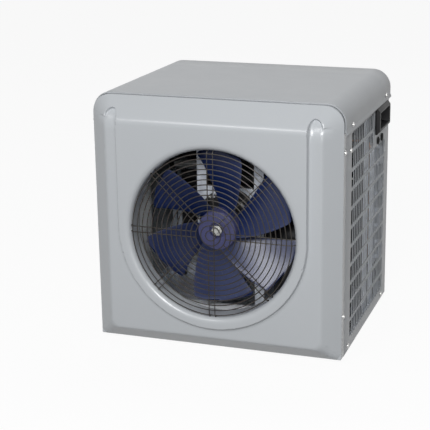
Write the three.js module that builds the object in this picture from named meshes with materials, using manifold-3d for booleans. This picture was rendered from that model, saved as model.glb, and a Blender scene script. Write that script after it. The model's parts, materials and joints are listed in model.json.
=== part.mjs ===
// A small pool heat pump: a cube-shaped cabinet with a fan behind a round wire guard in its
// front, an evaporator across its rear, a compressor and a water heat exchanger beside the fan
// motor, and two water ports at the rear. Air comes in through the right and rear grilles.
// Millimetres, +Z up, the front faces -Y, the right side faces +X.

import * as THREE from "three";
import { mergeVertices } from "three/addons/utils/BufferGeometryUtils.js";
import Module from "manifold-3d";

const wasm = await Module();
wasm.setup();

// ---------------------------------------------------------------- driving dimensions

// Cabinet. The rim is the plane where the front panel's bevels start, at Y = 0 here.
const cabinetWidth = 360;
const cabinetHeight = 356.5;
const cabinetDepth = 289;
const footHeight = 5;
const sheet = 1.5;              // painted steel of the sides, rear and top cover
const moulding = 2.5;           // wall of the plastic front panel
const fit = 0.3;                // gap between pieces that touch or slide together

// Front panel
const panelCorner = 26;         // radius of the two top corners
const panelFoot = 1.5;          // radius of the two bottom corners
const skirtDepth = 14;          // how far the panel's rim wraps back round the cabinet
const shoulderRise = 20;        // the flat shoulder stands this far in front of the rim
const apronRise = 26;           // and the U-shaped apron this far
const sideBevel = 25;           // width of the slope at each side, rim to shoulder
const footBevel = 19.5;         // height of the slope at the bottom
const crownBevel = 30.5;        // height of the slope at the top, rim to apron
const shoulderCorner = 12;
const apronHalfWidth = 137;     // the apron ends in a half circle of this radius
const fluteRise = 341;          // top of the two flutes beside the apron, above the cabinet foot
const fanHeight = 171.5;        // fan axis above the cabinet foot

// Fan opening, guard and fan
const throatRadius = 119;
const lipRadius = 10;           // round of the bell mouth
const throatBack = 8;           // the throat ends this far behind the rim
const guardWire = 1.8;
const guardPitch = 7.22;
const guardMargin = 3;          // least gap between the last ring's centre line and the throat
const guardArms = 8;
const armSpread = 4.2;          // each arm is a pair of wires this far off its centre line
const tipGap = 9;               // between the blade tips and the throat
const fanBlades = 6;
const bladeThickness = 2.4;
const hubRadius = 28;
const hubFront = 1;             // the hub's face, just behind the rim plane
const hubDepth = 29;
const nutSeat = 5;              // the nut sits this deep in the hub's face
const nutSeatRadius = 11;
const shaftRadius = 4;

// Fan motor and its bracket
const motorRadius = 40;
const motorFront = 42;
const motorLength = 58;
const motorWall = 5;
const motorFlange = 6;          // how far the flange stands out round the motor
const strapSpacing = 86;        // between the centre lines of the bracket's two uprights
const strapWidth = 14;
const strapSheet = 1.5;
const strapPlace = 60;          // front face of the uprights, behind the rim

// Evaporator
const coilThickness = 26;
const coilFoot = 52;            // underside of the fins above the cabinet foot
const coilTop = 342;
const coilEndGap = 12;          // between each end plate and the sheet beside it
const coilRearGap = 5.5;        // between the fins and the rear panel
const tubePitch = 25.4;
const tubeRadius = 3.6;
const endPlate = 1.5;
const plateFlange = 16;         // width of the front flange folded along each end plate
const flangeSlot = 2.4;         // slot down the middle of the flange

// Compressor
const compressorX = 106;
const compressorY = 90;
const compressorRadius = 48;
const compressorHeight = 172;
const mountHeight = 13;
const mountCircle = 56;

// Water heat exchanger
const tankX = 102;
const tankY = 195;
const tankRadius = 46;
const tankHeight = 196;
const tankWall = 3.5;
const portRadius = 19;          // outside of the port's thread
const portLength = 28;          // port outside the rear panel
const portHeight = 30;          // port axis above the cabinet foot
const portSpacing = 72;
const collarWidth = 3;          // collar behind the rear panel, round each port
const collarThickness = 3;

// Electrical box
const boxLeft = -112;
const boxWidth = 106;
const boxFront = 112;
const boxDepth = 78;
const boxFoot = 226;
const boxHeight = 116;
const boxWall = 2;

// Top cover
const coverOverhang = 2.2;      // the cover stands this far outside the cabinet
const coverCorner = 27.2;
const coverFront = 4.4;         // front edge of the cover behind the rim
const coverHem = 317;           // lower edge of its two side flanges above the cabinet foot

// Grilles
const slotPitch = 27.2;
const slotHeight = 22;
const slotRows = 11;
const slotFoot = 17;            // bottom of the lowest slot above the cabinet foot
const slotFront = 47;
const slotBack = 263;

// Carry handles
const gripFront = 193;
const gripLength = 78;
const gripFoot = 276;
const gripHeight = 40;
const gripStand = 6.5;          // the handle stands this far out of the cabinet's side
const gripDepth = 11;           // and its pocket goes this far into it
const gripRim = 8;
const gripWall = 2;

// Screws
const screwRadius = 1.7;
const screwHead = 3.8;
const screwHeadHeight = 2.2;
const screwLength = 9;

// ---------------------------------------------------------------- places that follow

const halfWidth = cabinetWidth / 2;
const fanRadius = throatRadius - tipGap;
const guardRings = Math.floor((throatRadius - guardMargin) / guardPitch);
const foot = footHeight;                        // height of the cabinet's lower edge
const rim = foot + cabinetHeight;               // height of its upper edge
const fanZ = foot + fanHeight;
const sideInner = halfWidth - sheet;            // inner face of the side panels
const rearInner = cabinetDepth - sheet;         // inner face of the rear panel
const coverTop = rim + coverOverhang;
const coverHalf = halfWidth + coverOverhang;
const trayFloor = foot + 2;
const portZ = foot + portHeight;
const inletX = tankX - portSpacing / 2 + 6;
const outletX = inletX + portSpacing;
const overallFront = -apronRise;
const overallRear = cabinetDepth + portLength;

const facets = { fine: 44, medium: 20, small: 8 };

// ---------------------------------------------------------------- making solids

// A closed geometry becomes a solid: its vertices are merged, empty faces are dropped and
// its faces are turned outwards.
function solid(geometry) {
  const bare = geometry.clone();
  bare.deleteAttribute("normal");
  bare.deleteAttribute("uv");
  const merged = mergeVertices(bare, 1e-4);
  const place = merged.attributes.position;
  const corners = [];
  let volume = 0;
  const a = new THREE.Vector3();
  const b = new THREE.Vector3();
  const c = new THREE.Vector3();
  for (let i = 0; i < merged.index.count; i += 3) {
    const [p, q, r] = [0, 1, 2].map((k) => merged.index.getX(i + k));
    if (p !== q && q !== r && r !== p) {
      corners.push([p, q, r]);
      a.fromBufferAttribute(place, p);
      b.fromBufferAttribute(place, q);
      c.fromBufferAttribute(place, r);
      volume += a.dot(b.cross(c));
    }
  }
  const outward = volume < 0 ? corners.map(([p, q, r]) => [p, r, q]) : corners;
  return new wasm.Manifold(new wasm.Mesh({
    numProp: 3,
    vertProperties: new Float32Array(place.array),
    triVerts: new Uint32Array(outward.flat()),
  }));
}

function joined(...solids) {
  return solids.reduce((all, next) => all.add(next));
}

function cut(body, ...tools) {
  return tools.reduce((left, tool) => left.subtract(tool), body);
}

function block(x0, x1, y0, y1, z0, z1) {
  const shape = new THREE.BoxGeometry(x1 - x0, y1 - y0, z1 - z0);
  return solid(shape.translate((x0 + x1) / 2, (y0 + y1) / 2, (z0 + z1) / 2));
}

// A drawing in X and Z, pressed out from y0 to y1.
function pressedY(shape, y0, y1, curveSegments = 3) {
  const flat = new THREE.ExtrudeGeometry(shape, { depth: y1 - y0, bevelEnabled: false, curveSegments });
  return solid(flat.rotateX(Math.PI / 2).translate(0, y1, 0));
}

// A drawing in Y and Z, pressed out from x0 to x1.
function pressedX(shape, x0, x1) {
  const flat = new THREE.ExtrudeGeometry(shape, { depth: x1 - x0, bevelEnabled: false, curveSegments: 3 });
  const turn = new THREE.Matrix4().makeBasis(
    new THREE.Vector3(0, 1, 0), new THREE.Vector3(0, 0, 1), new THREE.Vector3(1, 0, 0));
  return solid(flat.applyMatrix4(turn).translate(x0, 0, 0));
}

// A profile of [radius, height] points, turned about an axis along X, Y or Z.
function turned(profile, axis, centre, count = facets.medium) {
  const points = profile.map(([radius, height]) => new THREE.Vector2(radius, height));
  points.push(points[0].clone());
  const shape = new THREE.LatheGeometry(points, count);
  if (axis === "x") shape.rotateZ(-Math.PI / 2);
  if (axis === "z") shape.rotateX(Math.PI / 2);
  return solid(shape.translate(...centre));
}

function rod(radius, from, to, axis, centre, count = facets.medium) {
  return turned([[0, from], [radius, from], [radius, to], [0, to]], axis, centre, count);
}

// Quarter-round points of a profile, from one angle to another in degrees.
function arc(radius, height, size, from, to, steps) {
  return Array.from({ length: steps + 1 }, (_, i) => {
    const angle = THREE.MathUtils.degToRad(from + (to - from) * i / steps);
    return [radius + size * Math.cos(angle), height + size * Math.sin(angle)];
  });
}

// A pipe's centre line: straight runs with a rounded bend at each corner.
class Route extends THREE.Curve {
  constructor(corners, bend) {
    super();
    const stops = corners.map((corner) => new THREE.Vector3(...corner));
    this.knots = [stops[0]];
    for (let i = 1; i < stops.length - 1; i += 1) {
      const before = stops[i - 1].clone().sub(stops[i]);
      const after = stops[i + 1].clone().sub(stops[i]);
      const reach = Math.min(bend, before.length() * 0.45, after.length() * 0.45);
      const start = stops[i].clone().addScaledVector(before.normalize(), reach);
      const end = stops[i].clone().addScaledVector(after.normalize(), reach);
      const round = new THREE.QuadraticBezierCurve3(start, stops[i], end);
      this.knots.push(...round.getPoints(3));
    }
    this.knots.push(stops[stops.length - 1]);
    this.steps = this.knots.length - 1;
  }

  getPoint(t) {
    const place = Math.min(t * this.steps, this.steps - 1e-9);
    const index = Math.floor(place);
    return this.knots[index].clone().lerp(this.knots[index + 1], place - index);
  }

  getPointAt(t) {
    return this.getPoint(t);
  }

  getSpacedPoints() {
    return this.knots;
  }

  getTangentAt(t) {
    const index = Math.round(t * this.steps);
    const before = this.knots[Math.max(index - 1, 0)];
    const after = this.knots[Math.min(index + 1, this.steps)];
    return after.clone().sub(before).normalize();
  }
}

function pipe(corners, radius, bend, sides = 8) {
  const section = new THREE.Shape();
  section.absarc(0, 0, radius, 0, Math.PI * 2, false);
  const route = new Route(corners, bend);
  return solid(new THREE.ExtrudeGeometry(section, {
    steps: route.steps, extrudePath: route, curveSegments: sides / 2, bevelEnabled: false,
  }));
}

// A rectangle with one radius at the top corners and another at the bottom ones.
function arch(half, bottom, top, topRadius, bottomRadius = 0) {
  const shape = new THREE.Shape();
  shape.moveTo(-half + bottomRadius, bottom);
  shape.lineTo(half - bottomRadius, bottom);
  if (bottomRadius) shape.absarc(half - bottomRadius, bottom + bottomRadius, bottomRadius, -Math.PI / 2, 0);
  shape.lineTo(half, top - topRadius);
  shape.absarc(half - topRadius, top - topRadius, topRadius, 0, Math.PI / 2);
  shape.lineTo(-half + topRadius, top);
  shape.absarc(-half + topRadius, top - topRadius, topRadius, Math.PI / 2, Math.PI);
  shape.lineTo(-half, bottom + bottomRadius);
  if (bottomRadius) {
    shape.absarc(-half + bottomRadius, bottom + bottomRadius, bottomRadius, Math.PI, Math.PI * 1.5);
  }
  return shape;
}

function reflected(body) {
  const mesh = body.getMesh();
  const places = mesh.vertProperties.map((value, i) => (i % 3 ? value : -value));
  const corners = [];
  for (let i = 0; i < mesh.triVerts.length; i += 3) {
    corners.push(mesh.triVerts[i], mesh.triVerts[i + 2], mesh.triVerts[i + 1]);
  }
  return new wasm.Manifold(new wasm.Mesh({
    numProp: 3, vertProperties: places, triVerts: new Uint32Array(corners),
  }));
}

// ---------------------------------------------------------------- the assembly

const unit = new THREE.Group();
unit.position.y = -(overallFront + overallRear) / 2;

const finishes = {
  panel: new THREE.MeshStandardMaterial({ color: 0xb7bbbf, roughness: 0.5 }),
  casing: new THREE.MeshStandardMaterial({ color: 0xacb0b4, roughness: 0.45 }),
  galvanised: new THREE.MeshStandardMaterial({ color: 0xb9bdc2, roughness: 0.4, metalness: 0.9 }),
  fins: new THREE.MeshStandardMaterial({ color: 0x3a3e44, roughness: 0.5, metalness: 0.6 }),
  black: new THREE.MeshStandardMaterial({ color: 0x17181a, roughness: 0.6 }),
  rubber: new THREE.MeshStandardMaterial({ color: 0x1c1c1d, roughness: 0.9 }),
  wire: new THREE.MeshStandardMaterial({ color: 0x2b2622, roughness: 0.5, metalness: 0.6 }),
  fan: new THREE.MeshStandardMaterial({ color: 0x2b3270, roughness: 0.35 }),
  steel: new THREE.MeshStandardMaterial({ color: 0xc9c9c6, roughness: 0.3, metalness: 1 }),
  copper: new THREE.MeshStandardMaterial({ color: 0xb87345, roughness: 0.35, metalness: 1 }),
  titanium: new THREE.MeshStandardMaterial({ color: 0x8f8d8a, roughness: 0.35, metalness: 1 }),
  board: new THREE.MeshStandardMaterial({ color: 0x1f6b3c, roughness: 0.6 }),
};

function fitPiece(name, body, finish) {
  const mesh = body.getMesh();
  const shape = new THREE.BufferGeometry();
  shape.setAttribute("position", new THREE.BufferAttribute(mesh.vertProperties, 3));
  shape.setIndex(new THREE.BufferAttribute(mesh.triVerts, 1));
  shape.computeVertexNormals();
  const piece = new THREE.Mesh(shape, finishes[finish].clone());
  piece.name = name;
  unit.add(piece);
}

// ---------------------------------------------------------------- screws

// Each screw is [side, y, z, outer face]: side is 1 for +X and -1 for -X, and the outer face
// is the distance from the middle to the surface that its head lies on.
const coverScrews = [40, 256].flatMap((y) => [1, -1].map((side) => ({
  name: `cover_screw_${side > 0 ? "right" : "left"}_${y < 100 ? "front" : "rear"}`,
  side, y, z: foot + coverHem + 8, face: coverHalf,
})));
const panelScrews = [62, 293].flatMap((height) => [1, -1].map((side) => ({
  name: `panel_screw_${side > 0 ? "right" : "left"}_${height < 100 ? "lower" : "upper"}`,
  side, y: skirtDepth / 2, z: foot + height, face: halfWidth,
})));
const screws = [...coverScrews, ...panelScrews];

function screwHole({ side, y, z }) {
  const deep = halfWidth - 30;
  const out = coverHalf + 10;
  return rod(screwRadius + fit, side > 0 ? deep : -out, side > 0 ? out : -deep,
    "x", [0, y, z], facets.small);
}

function screw({ side, y, z, face }) {
  const seat = face + fit;
  const body = turned([
    [0, seat - screwLength], [screwRadius, seat - screwLength], [screwRadius, seat],
    [screwHead, seat], [screwHead, seat + screwHeadHeight * 0.5],
    [screwHead * 0.7, seat + screwHeadHeight], [0, seat + screwHeadHeight],
  ], "x", [0, y, z], facets.small);
  return side > 0 ? body : reflected(body);
}

screws.forEach((place) => fitPiece(place.name, screw(place), "steel"));

// ---------------------------------------------------------------- base tray and feet

// The tray is a shallow pressed pan. Everything inside stands on it, and it drains through a
// hole at the rear.
const trayFront = skirtDepth + fit;
const trayBack = rearInner - fit;
const trayHalf = sideInner - fit;
const trayRim = 18;
const drainRadius = 6;
const portHoles = (radius) => [inletX, outletX].map((x) => (
  rod(radius + fit, trayBack - sheet - 1, cabinetDepth + 1, "y", [x, 0, portZ])));
const baseTray = cut(
  block(-trayHalf, trayHalf, trayFront, trayBack, foot, foot + trayRim),
  block(-trayHalf + sheet, trayHalf - sheet, trayFront + sheet, trayBack - sheet,
    trayFloor, foot + trayRim + 1),
  rod(drainRadius, foot - 1, trayFloor + 1, "z", [-60, trayBack - 30, 0], facets.small),
  ...portHoles(portRadius + collarWidth));
fitPiece("base_tray", baseTray, "galvanised");

const footRadius = 14;
const footInset = 32;
[[-1, "left"], [1, "right"]].forEach(([side, sideName]) => {
  [[trayFront + footInset, "front"], [trayBack - footInset, "rear"]].forEach(([y, endName]) => {
    const pad = turned([
      [0, 0], [footRadius - 1.5, 0], [footRadius, 1.5], [footRadius, foot - fit], [0, foot - fit],
    ], "z", [side * (trayHalf - footInset), y, 0], 14);
    fitPiece(`rubber_foot_${sideName}_${endName}`, pad, "rubber");
  });
});

// ---------------------------------------------------------------- front panel

// The rim, shoulder and apron outlines are rings of matching points, one behind the other, and
// the slopes between them are the panel's bevels.
function ring(half, bottom, top, topRadius, bottomRadius, y) {
  const points = [];
  const corner = (x, z, radius, from) => {
    arc(x, z, radius, from, from + 90, 5).forEach(([px, pz]) => points.push([px, y, pz]));
  };
  corner(half - bottomRadius, bottom + bottomRadius, bottomRadius, -90);
  corner(half - topRadius, top - topRadius, topRadius, 0);
  corner(-half + topRadius, top - topRadius, topRadius, 90);
  corner(-half + bottomRadius, bottom + bottomRadius, bottomRadius, 180);
  return points;
}

function lofted(rings) {
  const count = rings[0].length;
  const places = rings.flat(2);
  const faces = [];
  for (let level = 0; level < rings.length - 1; level += 1) {
    for (let i = 0; i < count; i += 1) {
      const [a, b] = [level * count + i, level * count + (i + 1) % count];
      faces.push(a, b, b + count, a, b + count, a + count);
    }
  }
  [[0, true], [rings.length - 1, false]].forEach(([level, back]) => {
    const flat = rings[level].map(([x, , z]) => new THREE.Vector2(x, z));
    THREE.ShapeUtils.triangulateShape(flat, []).forEach((tri) => {
      const [a, b, c] = tri.map((i) => i + level * count);
      faces.push(...(back ? [a, c, b] : [a, b, c]));
    });
  });
  const shape = new THREE.BufferGeometry();
  shape.setAttribute("position", new THREE.Float32BufferAttribute(places, 3));
  shape.setIndex(faces);
  return solid(shape);
}

// The U-shaped apron, drawn in X and Z: straight sides and a half-round foot round the fan.
function apronOutline(half) {
  const shape = new THREE.Shape();
  shape.moveTo(half, rim + 10);
  shape.lineTo(-half, rim + 10);
  shape.lineTo(-half, fanZ);
  shape.absarc(0, fanZ, half, Math.PI, Math.PI * 2, false);
  shape.lineTo(half, rim + 10);
  return shape;
}

// One flute: the round-topped end of the shoulder, sunk into the crown bevel.
function fluteOutline(side, inset) {
  const inner = apronHalfWidth - inset;
  const outer = halfWidth - sideBevel + inset;
  const radius = (outer - inner) / 2;
  const middle = side * (inner + outer) / 2;
  const top = foot + fluteRise + inset - radius;
  const shape = new THREE.Shape();
  shape.moveTo(middle - radius, fanZ);
  shape.lineTo(middle + radius, fanZ);
  shape.lineTo(middle + radius, top);
  shape.absarc(middle, top, radius, 0, Math.PI, false);
  shape.lineTo(middle - radius, fanZ);
  return shape;
}

// The panel's outer form, or the same form one wall further in for its hollow.
function panelForm(inset, back) {
  const slope = 0.4 * inset;
  const rise = apronRise - shoulderRise;
  const sideStep = rise * sideBevel / shoulderRise;
  const footStep = rise * footBevel / shoulderRise;
  const crownStep = rise * crownBevel / apronRise;
  const crown = rim - crownBevel;
  const form = lofted([
    ring(halfWidth - inset, foot + inset, rim - inset, panelCorner - inset,
      Math.max(panelFoot - inset, 0.2), back),
    ring(halfWidth - inset, foot + inset, rim - inset, panelCorner - inset,
      Math.max(panelFoot - inset, 0.2), slope),
    ring(halfWidth - sideBevel - slope, foot + footBevel + slope, crown + crownStep - slope,
      shoulderCorner - slope, shoulderCorner - slope, inset - shoulderRise),
    ring(halfWidth - sideBevel - sideStep - slope, foot + footBevel + footStep + slope,
      crown - slope, shoulderCorner - slope, shoulderCorner - slope, inset - apronRise),
  ]);
  const front = -apronRise - 10;
  const shoulder = cut(
    block(-halfWidth, halfWidth, front, inset - shoulderRise, foot, rim + 10),
    pressedY(apronOutline(apronHalfWidth - inset), front - 1, inset - shoulderRise + 1, 14));
  const sunk = new THREE.Shape([
    new THREE.Vector2(front, crown), new THREE.Vector2(inset - shoulderRise, crown),
    new THREE.Vector2(inset - shoulderRise + apronRise, rim),
    new THREE.Vector2(front, rim),
  ]);
  const flutes = [1, -1].map((side) => pressedY(fluteOutline(side, inset), front, back)
    .intersect(pressedX(sunk, -halfWidth, halfWidth)));
  return cut(form, shoulder, ...flutes);
}

// The bell mouth rounds off the apron into the throat round the fan.
function bellMouth() {
  const wall = moulding;
  const start = throatRadius + lipRadius;
  const depth = lipRadius - apronRise;
  return turned([
    [throatRadius, throatBack],
    ...arc(start, depth, lipRadius, 180, 270, 3),
    [start + 2, -apronRise],
    [start + 2, wall - apronRise],
    ...arc(start, depth, lipRadius - wall, 270, 180, 2),
    [throatRadius + wall, throatBack],
  ], "y", [0, 0, fanZ], facets.fine);
}

const panelShell = cut(
  panelForm(0, skirtDepth),
  panelForm(moulding, skirtDepth + 1),
  rod(throatRadius + lipRadius + 1, -apronRise - 1, skirtDepth, "y", [0, 0, fanZ], facets.fine));
fitPiece("front_panel", cut(joined(panelShell, bellMouth()), ...panelScrews.map(screwHole)), "panel");

// ---------------------------------------------------------------- wire guard

// Rings are welded to the front of the arms. One wire of the upright pair runs right through
// and carries the smallest rings. The arms' ends lie on the bell mouth. Each wire is drawn as
// a wedge, and a ring and an arm sink into each other edge to edge at every weld.
const weldDepth = 0.5;
const ringPlane = -apronRise + guardWire / 2 + 0.7;
const armPlane = ringPlane + guardWire - weldDepth;
const armEnd = throatRadius + 1.6;
const armStart = guardPitch * 3 - guardWire / 2;

function guardRing(number) {
  const radius = guardPitch * number;
  const half = guardWire / 2;
  return turned([
    [radius - half, -half], [radius + half, -half], [radius, half],
  ], "y", [0, ringPlane, fanZ], 10 + number);
}

function guardArm(angle, side) {
  const through = angle === 90 && side < 0;
  const half = guardWire / 2;
  const from = through ? -guardPitch * 3 : armStart;
  const wedge = new THREE.Shape([
    new THREE.Vector2(-half, half), new THREE.Vector2(half, half), new THREE.Vector2(0, -half),
  ]);
  const wire = new THREE.ExtrudeGeometry(wedge, { depth: armEnd - from, bevelEnabled: false });
  wire.translate(0, 0, from).rotateY(Math.PI / 2).translate(0, 0, side * armSpread);
  wire.rotateY(-THREE.MathUtils.degToRad(angle));
  return solid(wire.translate(0, armPlane, fanZ));
}

const guardWires = [];
for (let number = 1; number <= guardRings; number += 1) guardWires.push(guardRing(number));
for (let arm = 0; arm < guardArms; arm += 1) {
  guardWires.push(guardArm(arm * 360 / guardArms, 1), guardArm(arm * 360 / guardArms, -1));
}
fitPiece("fan_guard", joined(...guardWires), "wire");

// ---------------------------------------------------------------- fan, nut and rotor

const fanFront = 3;             // leading edge of the blades behind the rim
const fanBack = 37;             // trailing edge at the tips

// A blade's leading and trailing angle and its depth, from root to tip.
const bladeStations = [
  { radius: hubRadius - 2, lead: -20, trail: 40, front: fanFront, back: 27 },
  { radius: 50, lead: -6, trail: 45, front: fanFront, back: 32 },
  { radius: 80, lead: 4, trail: 49, front: fanFront, back: 35 },
  { radius: fanRadius, lead: 11, trail: 53, front: fanFront + 1.5, back: fanBack },
];

function blade(turn) {
  const chord = 5;
  const rows = bladeStations.map(({ radius, lead, trail, front, back }) => (
    Array.from({ length: chord + 1 }, (_, i) => {
      const share = i / chord;
      const angle = THREE.MathUtils.degToRad(turn + lead + (trail - lead) * share);
      const depth = front + (back - front) * (share + 0.35 * share * (1 - share));
      return new THREE.Vector3(radius * Math.cos(angle), depth, radius * Math.sin(angle));
    })));
  const places = [];
  const half = bladeThickness / 2;
  rows.forEach((row) => row.forEach((point, i) => {
    const thin = i === 0 || i === chord ? half * 0.5 : half;
    places.push([point.x, point.y - thin, point.z], [point.x, point.y + thin, point.z]);
  }));
  const faces = [];
  const at = (r, i, back) => (r * (chord + 1) + i) * 2 + back;
  const quad = (a, b, c, d) => faces.push(a, b, c, a, c, d);
  for (let r = 0; r < rows.length - 1; r += 1) {
    for (let i = 0; i < chord; i += 1) {
      quad(at(r, i, 0), at(r + 1, i, 0), at(r + 1, i + 1, 0), at(r, i + 1, 0));
      quad(at(r, i, 1), at(r, i + 1, 1), at(r + 1, i + 1, 1), at(r + 1, i, 1));
    }
    quad(at(r, 0, 0), at(r, 0, 1), at(r + 1, 0, 1), at(r + 1, 0, 0));
    quad(at(r, chord, 0), at(r + 1, chord, 0), at(r + 1, chord, 1), at(r, chord, 1));
  }
  const last = rows.length - 1;
  for (let i = 0; i < chord; i += 1) {
    quad(at(0, i, 0), at(0, i + 1, 0), at(0, i + 1, 1), at(0, i, 1));
    quad(at(last, i, 0), at(last, i, 1), at(last, i + 1, 1), at(last, i + 1, 0));
  }
  const shape = new THREE.BufferGeometry();
  shape.setAttribute("position", new THREE.Float32BufferAttribute(places.flat(), 3));
  shape.setIndex(faces);
  return solid(shape.translate(0, 0, fanZ));
}

const hubWall = 2.8;
const hubBack = hubFront + hubDepth;
const nutFloor = hubFront + nutSeat;
const hub = turned([
  [shaftRadius + fit, nutFloor], [nutSeatRadius, nutFloor], [nutSeatRadius, hubFront],
  [hubRadius - 1.5, hubFront], [hubRadius, hubFront + 1.5],
  [hubRadius, hubBack], [hubRadius - hubWall, hubBack], [hubRadius - hubWall, hubFront + 4],
  [nutSeatRadius + hubWall, hubFront + 4], [nutSeatRadius + hubWall, nutFloor + hubWall],
  [9, nutFloor + hubWall], [9, hubBack - 6], [shaftRadius + fit, hubBack - 6],
], "y", [0, 0, fanZ], facets.medium);
const blades = Array.from({ length: fanBlades }, (_, i) => blade(i * 360 / fanBlades));
const hubHollow = rod(hubRadius - hubWall, hubFront + 4, hubBack + 12, "y", [0, 0, fanZ]);
fitPiece("fan_impeller", joined(hub, ...blades.map((one) => cut(one, hubHollow))), "fan");

const nutHeight = 6;
const nutBack = nutFloor - fit;
const nut = cut(
  turned([
    [0, nutBack - nutHeight], [6.4, nutBack - nutHeight], [7.4, nutBack - nutHeight + 1],
    [7.4, nutBack], [0, nutBack],
  ], "y", [0, 0, fanZ], 6),
  rod(shaftRadius + fit, nutBack - nutHeight - 1, nutBack + 1, "y", [0, 0, fanZ], 12));
fitPiece("fan_nut", nut, "steel");

// The rotor core sits inside the motor's housing on the shaft that carries the fan.
const motorBack = motorFront + motorLength;
const coreRadius = motorRadius - motorWall - 6;
const shaftTip = nutBack - nutHeight - 2.5;
const rotor = turned([
  [0, shaftTip], [shaftRadius - 0.6, shaftTip], [shaftRadius, shaftTip + 0.8],
  [shaftRadius, motorFront + motorWall + 6], [coreRadius, motorFront + motorWall + 6],
  [coreRadius, motorBack - motorWall - 6], [shaftRadius, motorBack - motorWall - 6],
  [shaftRadius, motorBack - motorWall - fit], [0, motorBack - motorWall - fit],
], "y", [0, 0, fanZ], 20);
fitPiece("motor_rotor", rotor, "steel");

// ---------------------------------------------------------------- fan motor and bracket

const flangePlace = strapPlace - fit - 2.5;
const housing = turned([
  [shaftRadius + fit, motorFront - 5], [13, motorFront - 5], [13, motorFront],
  [motorRadius - 4, motorFront], [motorRadius, motorFront + 4],
  [motorRadius, flangePlace], [motorRadius + motorFlange, flangePlace],
  [motorRadius + motorFlange, strapPlace - fit], [motorRadius, strapPlace - fit],
  [motorRadius, motorBack - 4], [motorRadius - 4, motorBack], [0, motorBack],
  [0, motorBack - motorWall], [motorRadius - motorWall, motorBack - motorWall],
  [motorRadius - motorWall, motorFront + motorWall], [shaftRadius + fit, motorFront + motorWall],
], "y", [0, 0, fanZ], facets.medium);
fitPiece("fan_motor", housing, "black");

// Two uprights stand on the tray and reach the cover, with the motor's plate between them.
const strapTop = coverTop - sheet - fit;
const strapFoot = trayFloor + fit;
const plateHalf = motorRadius + motorFlange + 1;
const upright = (side) => {
  const middle = side * strapSpacing / 2;
  const [x0, x1] = [middle - strapWidth / 2, middle + strapWidth / 2];
  return joined(
    block(x0, x1, strapPlace, strapPlace + strapSheet, strapFoot, strapTop),
    block(x0, x1, strapPlace, strapPlace + 16, strapFoot, strapFoot + strapSheet),
    block(x0, x1, strapPlace, strapPlace + 16, strapTop - strapSheet, strapTop));
};
const motorPlate = block(-strapSpacing / 2, strapSpacing / 2, strapPlace, strapPlace + strapSheet,
  fanZ - plateHalf, fanZ + plateHalf);
const motorHole = rod(motorRadius + fit, strapPlace - 1, strapPlace + strapSheet + 1, "y", [0, 0, fanZ]);
fitPiece("motor_bracket", cut(joined(upright(1), upright(-1), motorPlate), motorHole), "galvanised");

// ---------------------------------------------------------------- evaporator

// A block of closely set fins on copper tubes across the rear, between two end plates. It
// stands in a drain pan that leaves room for the water pipes below.
const coilHalf = sideInner - coilEndGap;
const coilBack = rearInner - coilRearGap;
const coilFront = coilBack - coilThickness;
const finFoot = foot + coilFoot;
const finTop = foot + coilTop;
const finHalf = coilHalf - endPlate - fit;
fitPiece("evaporator_fins", block(-finHalf, finHalf, coilFront, coilBack, finFoot, finTop), "fins");

// Each end plate has a slotted flange folded in front of the fins, and return bends outside it
// that join the tubes in pairs, up to the carry handle's pocket.
const coilMiddle = (coilFront + coilBack) / 2;
const flangeBack = coilFront - fit;
const flangeFront = flangeBack - endPlate;
const bendTop = foot + gripFoot;

function returnBend(z) {
  const [near, far] = [coilHalf - 0.5, sideInner - fit - tubeRadius];
  return pipe([
    [near, coilMiddle, z], [far, coilMiddle, z],
    [far, coilMiddle, z + tubePitch], [near, coilMiddle, z + tubePitch],
  ], tubeRadius, tubePitch / 3, 6);
}

const bends = [];
for (let z = finFoot + tubePitch / 2; z + tubePitch + tubeRadius < bendTop; z += 2 * tubePitch) {
  bends.push(returnBend(z));
}
const flangeMiddle = coilHalf - plateFlange / 2;
const rightPlate = cut(
  joined(
    block(coilHalf - endPlate, coilHalf, flangeFront, coilBack, finFoot, finTop),
    block(coilHalf - plateFlange, coilHalf, flangeFront, flangeBack, finFoot, finTop),
    ...bends),
  block(flangeMiddle - flangeSlot / 2, flangeMiddle + flangeSlot / 2, flangeFront - 1, flangeBack + 1,
    finFoot + 16, finTop - 16));
fitPiece("evaporator_end_plate_right", rightPlate, "galvanised");
fitPiece("evaporator_end_plate_left", reflected(rightPlate), "galvanised");

// Drain pan: a shallow channel under the fins, on four legs.
const panWall = 1.5;
const panTop = finFoot - fit;
const panFront = flangeFront - fit - panWall;
const panBack = coilBack + fit + panWall;
const panHalf = coilHalf + fit + panWall;
const panSlab = cut(
  block(-panHalf, panHalf, panFront, panBack, panTop - panWall, panTop + 4),
  block(-panHalf + panWall, panHalf - panWall, panFront + panWall, panBack - panWall, panTop, panTop + 5));
const panLegs = [-panHalf + 12, -50, 30, panHalf - 8].map((x) => (
  block(x - 5, x + 5, coilMiddle - 5, coilMiddle + 5, trayFloor + fit, panTop - panWall / 2)));
fitPiece("drain_pan", joined(panSlab, ...panLegs), "black");

// ---------------------------------------------------------------- compressor

// A welded steel can on three rubber mounts, with its suction accumulator strapped beside it.
const mountAngles = [30, 150, 270];
const shellFoot = trayFloor + mountHeight + 2 * fit;
const shellTop = shellFoot + compressorHeight;
const mountPlaces = mountAngles.map((angle) => {
  const turn = THREE.MathUtils.degToRad(angle);
  return [compressorX + mountCircle * Math.cos(turn), compressorY + mountCircle * Math.sin(turn)];
});

mountPlaces.forEach(([x, y], i) => {
  const mount = turned([
    [4, fit], [12, fit], [12, 4], [9, mountHeight * 0.5], [12, mountHeight - 3],
    [12, mountHeight + fit], [4, mountHeight + fit],
  ], "z", [x, y, trayFloor], 10);
  fitPiece(`compressor_mount_${i + 1}`, mount, "rubber");
});

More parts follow.
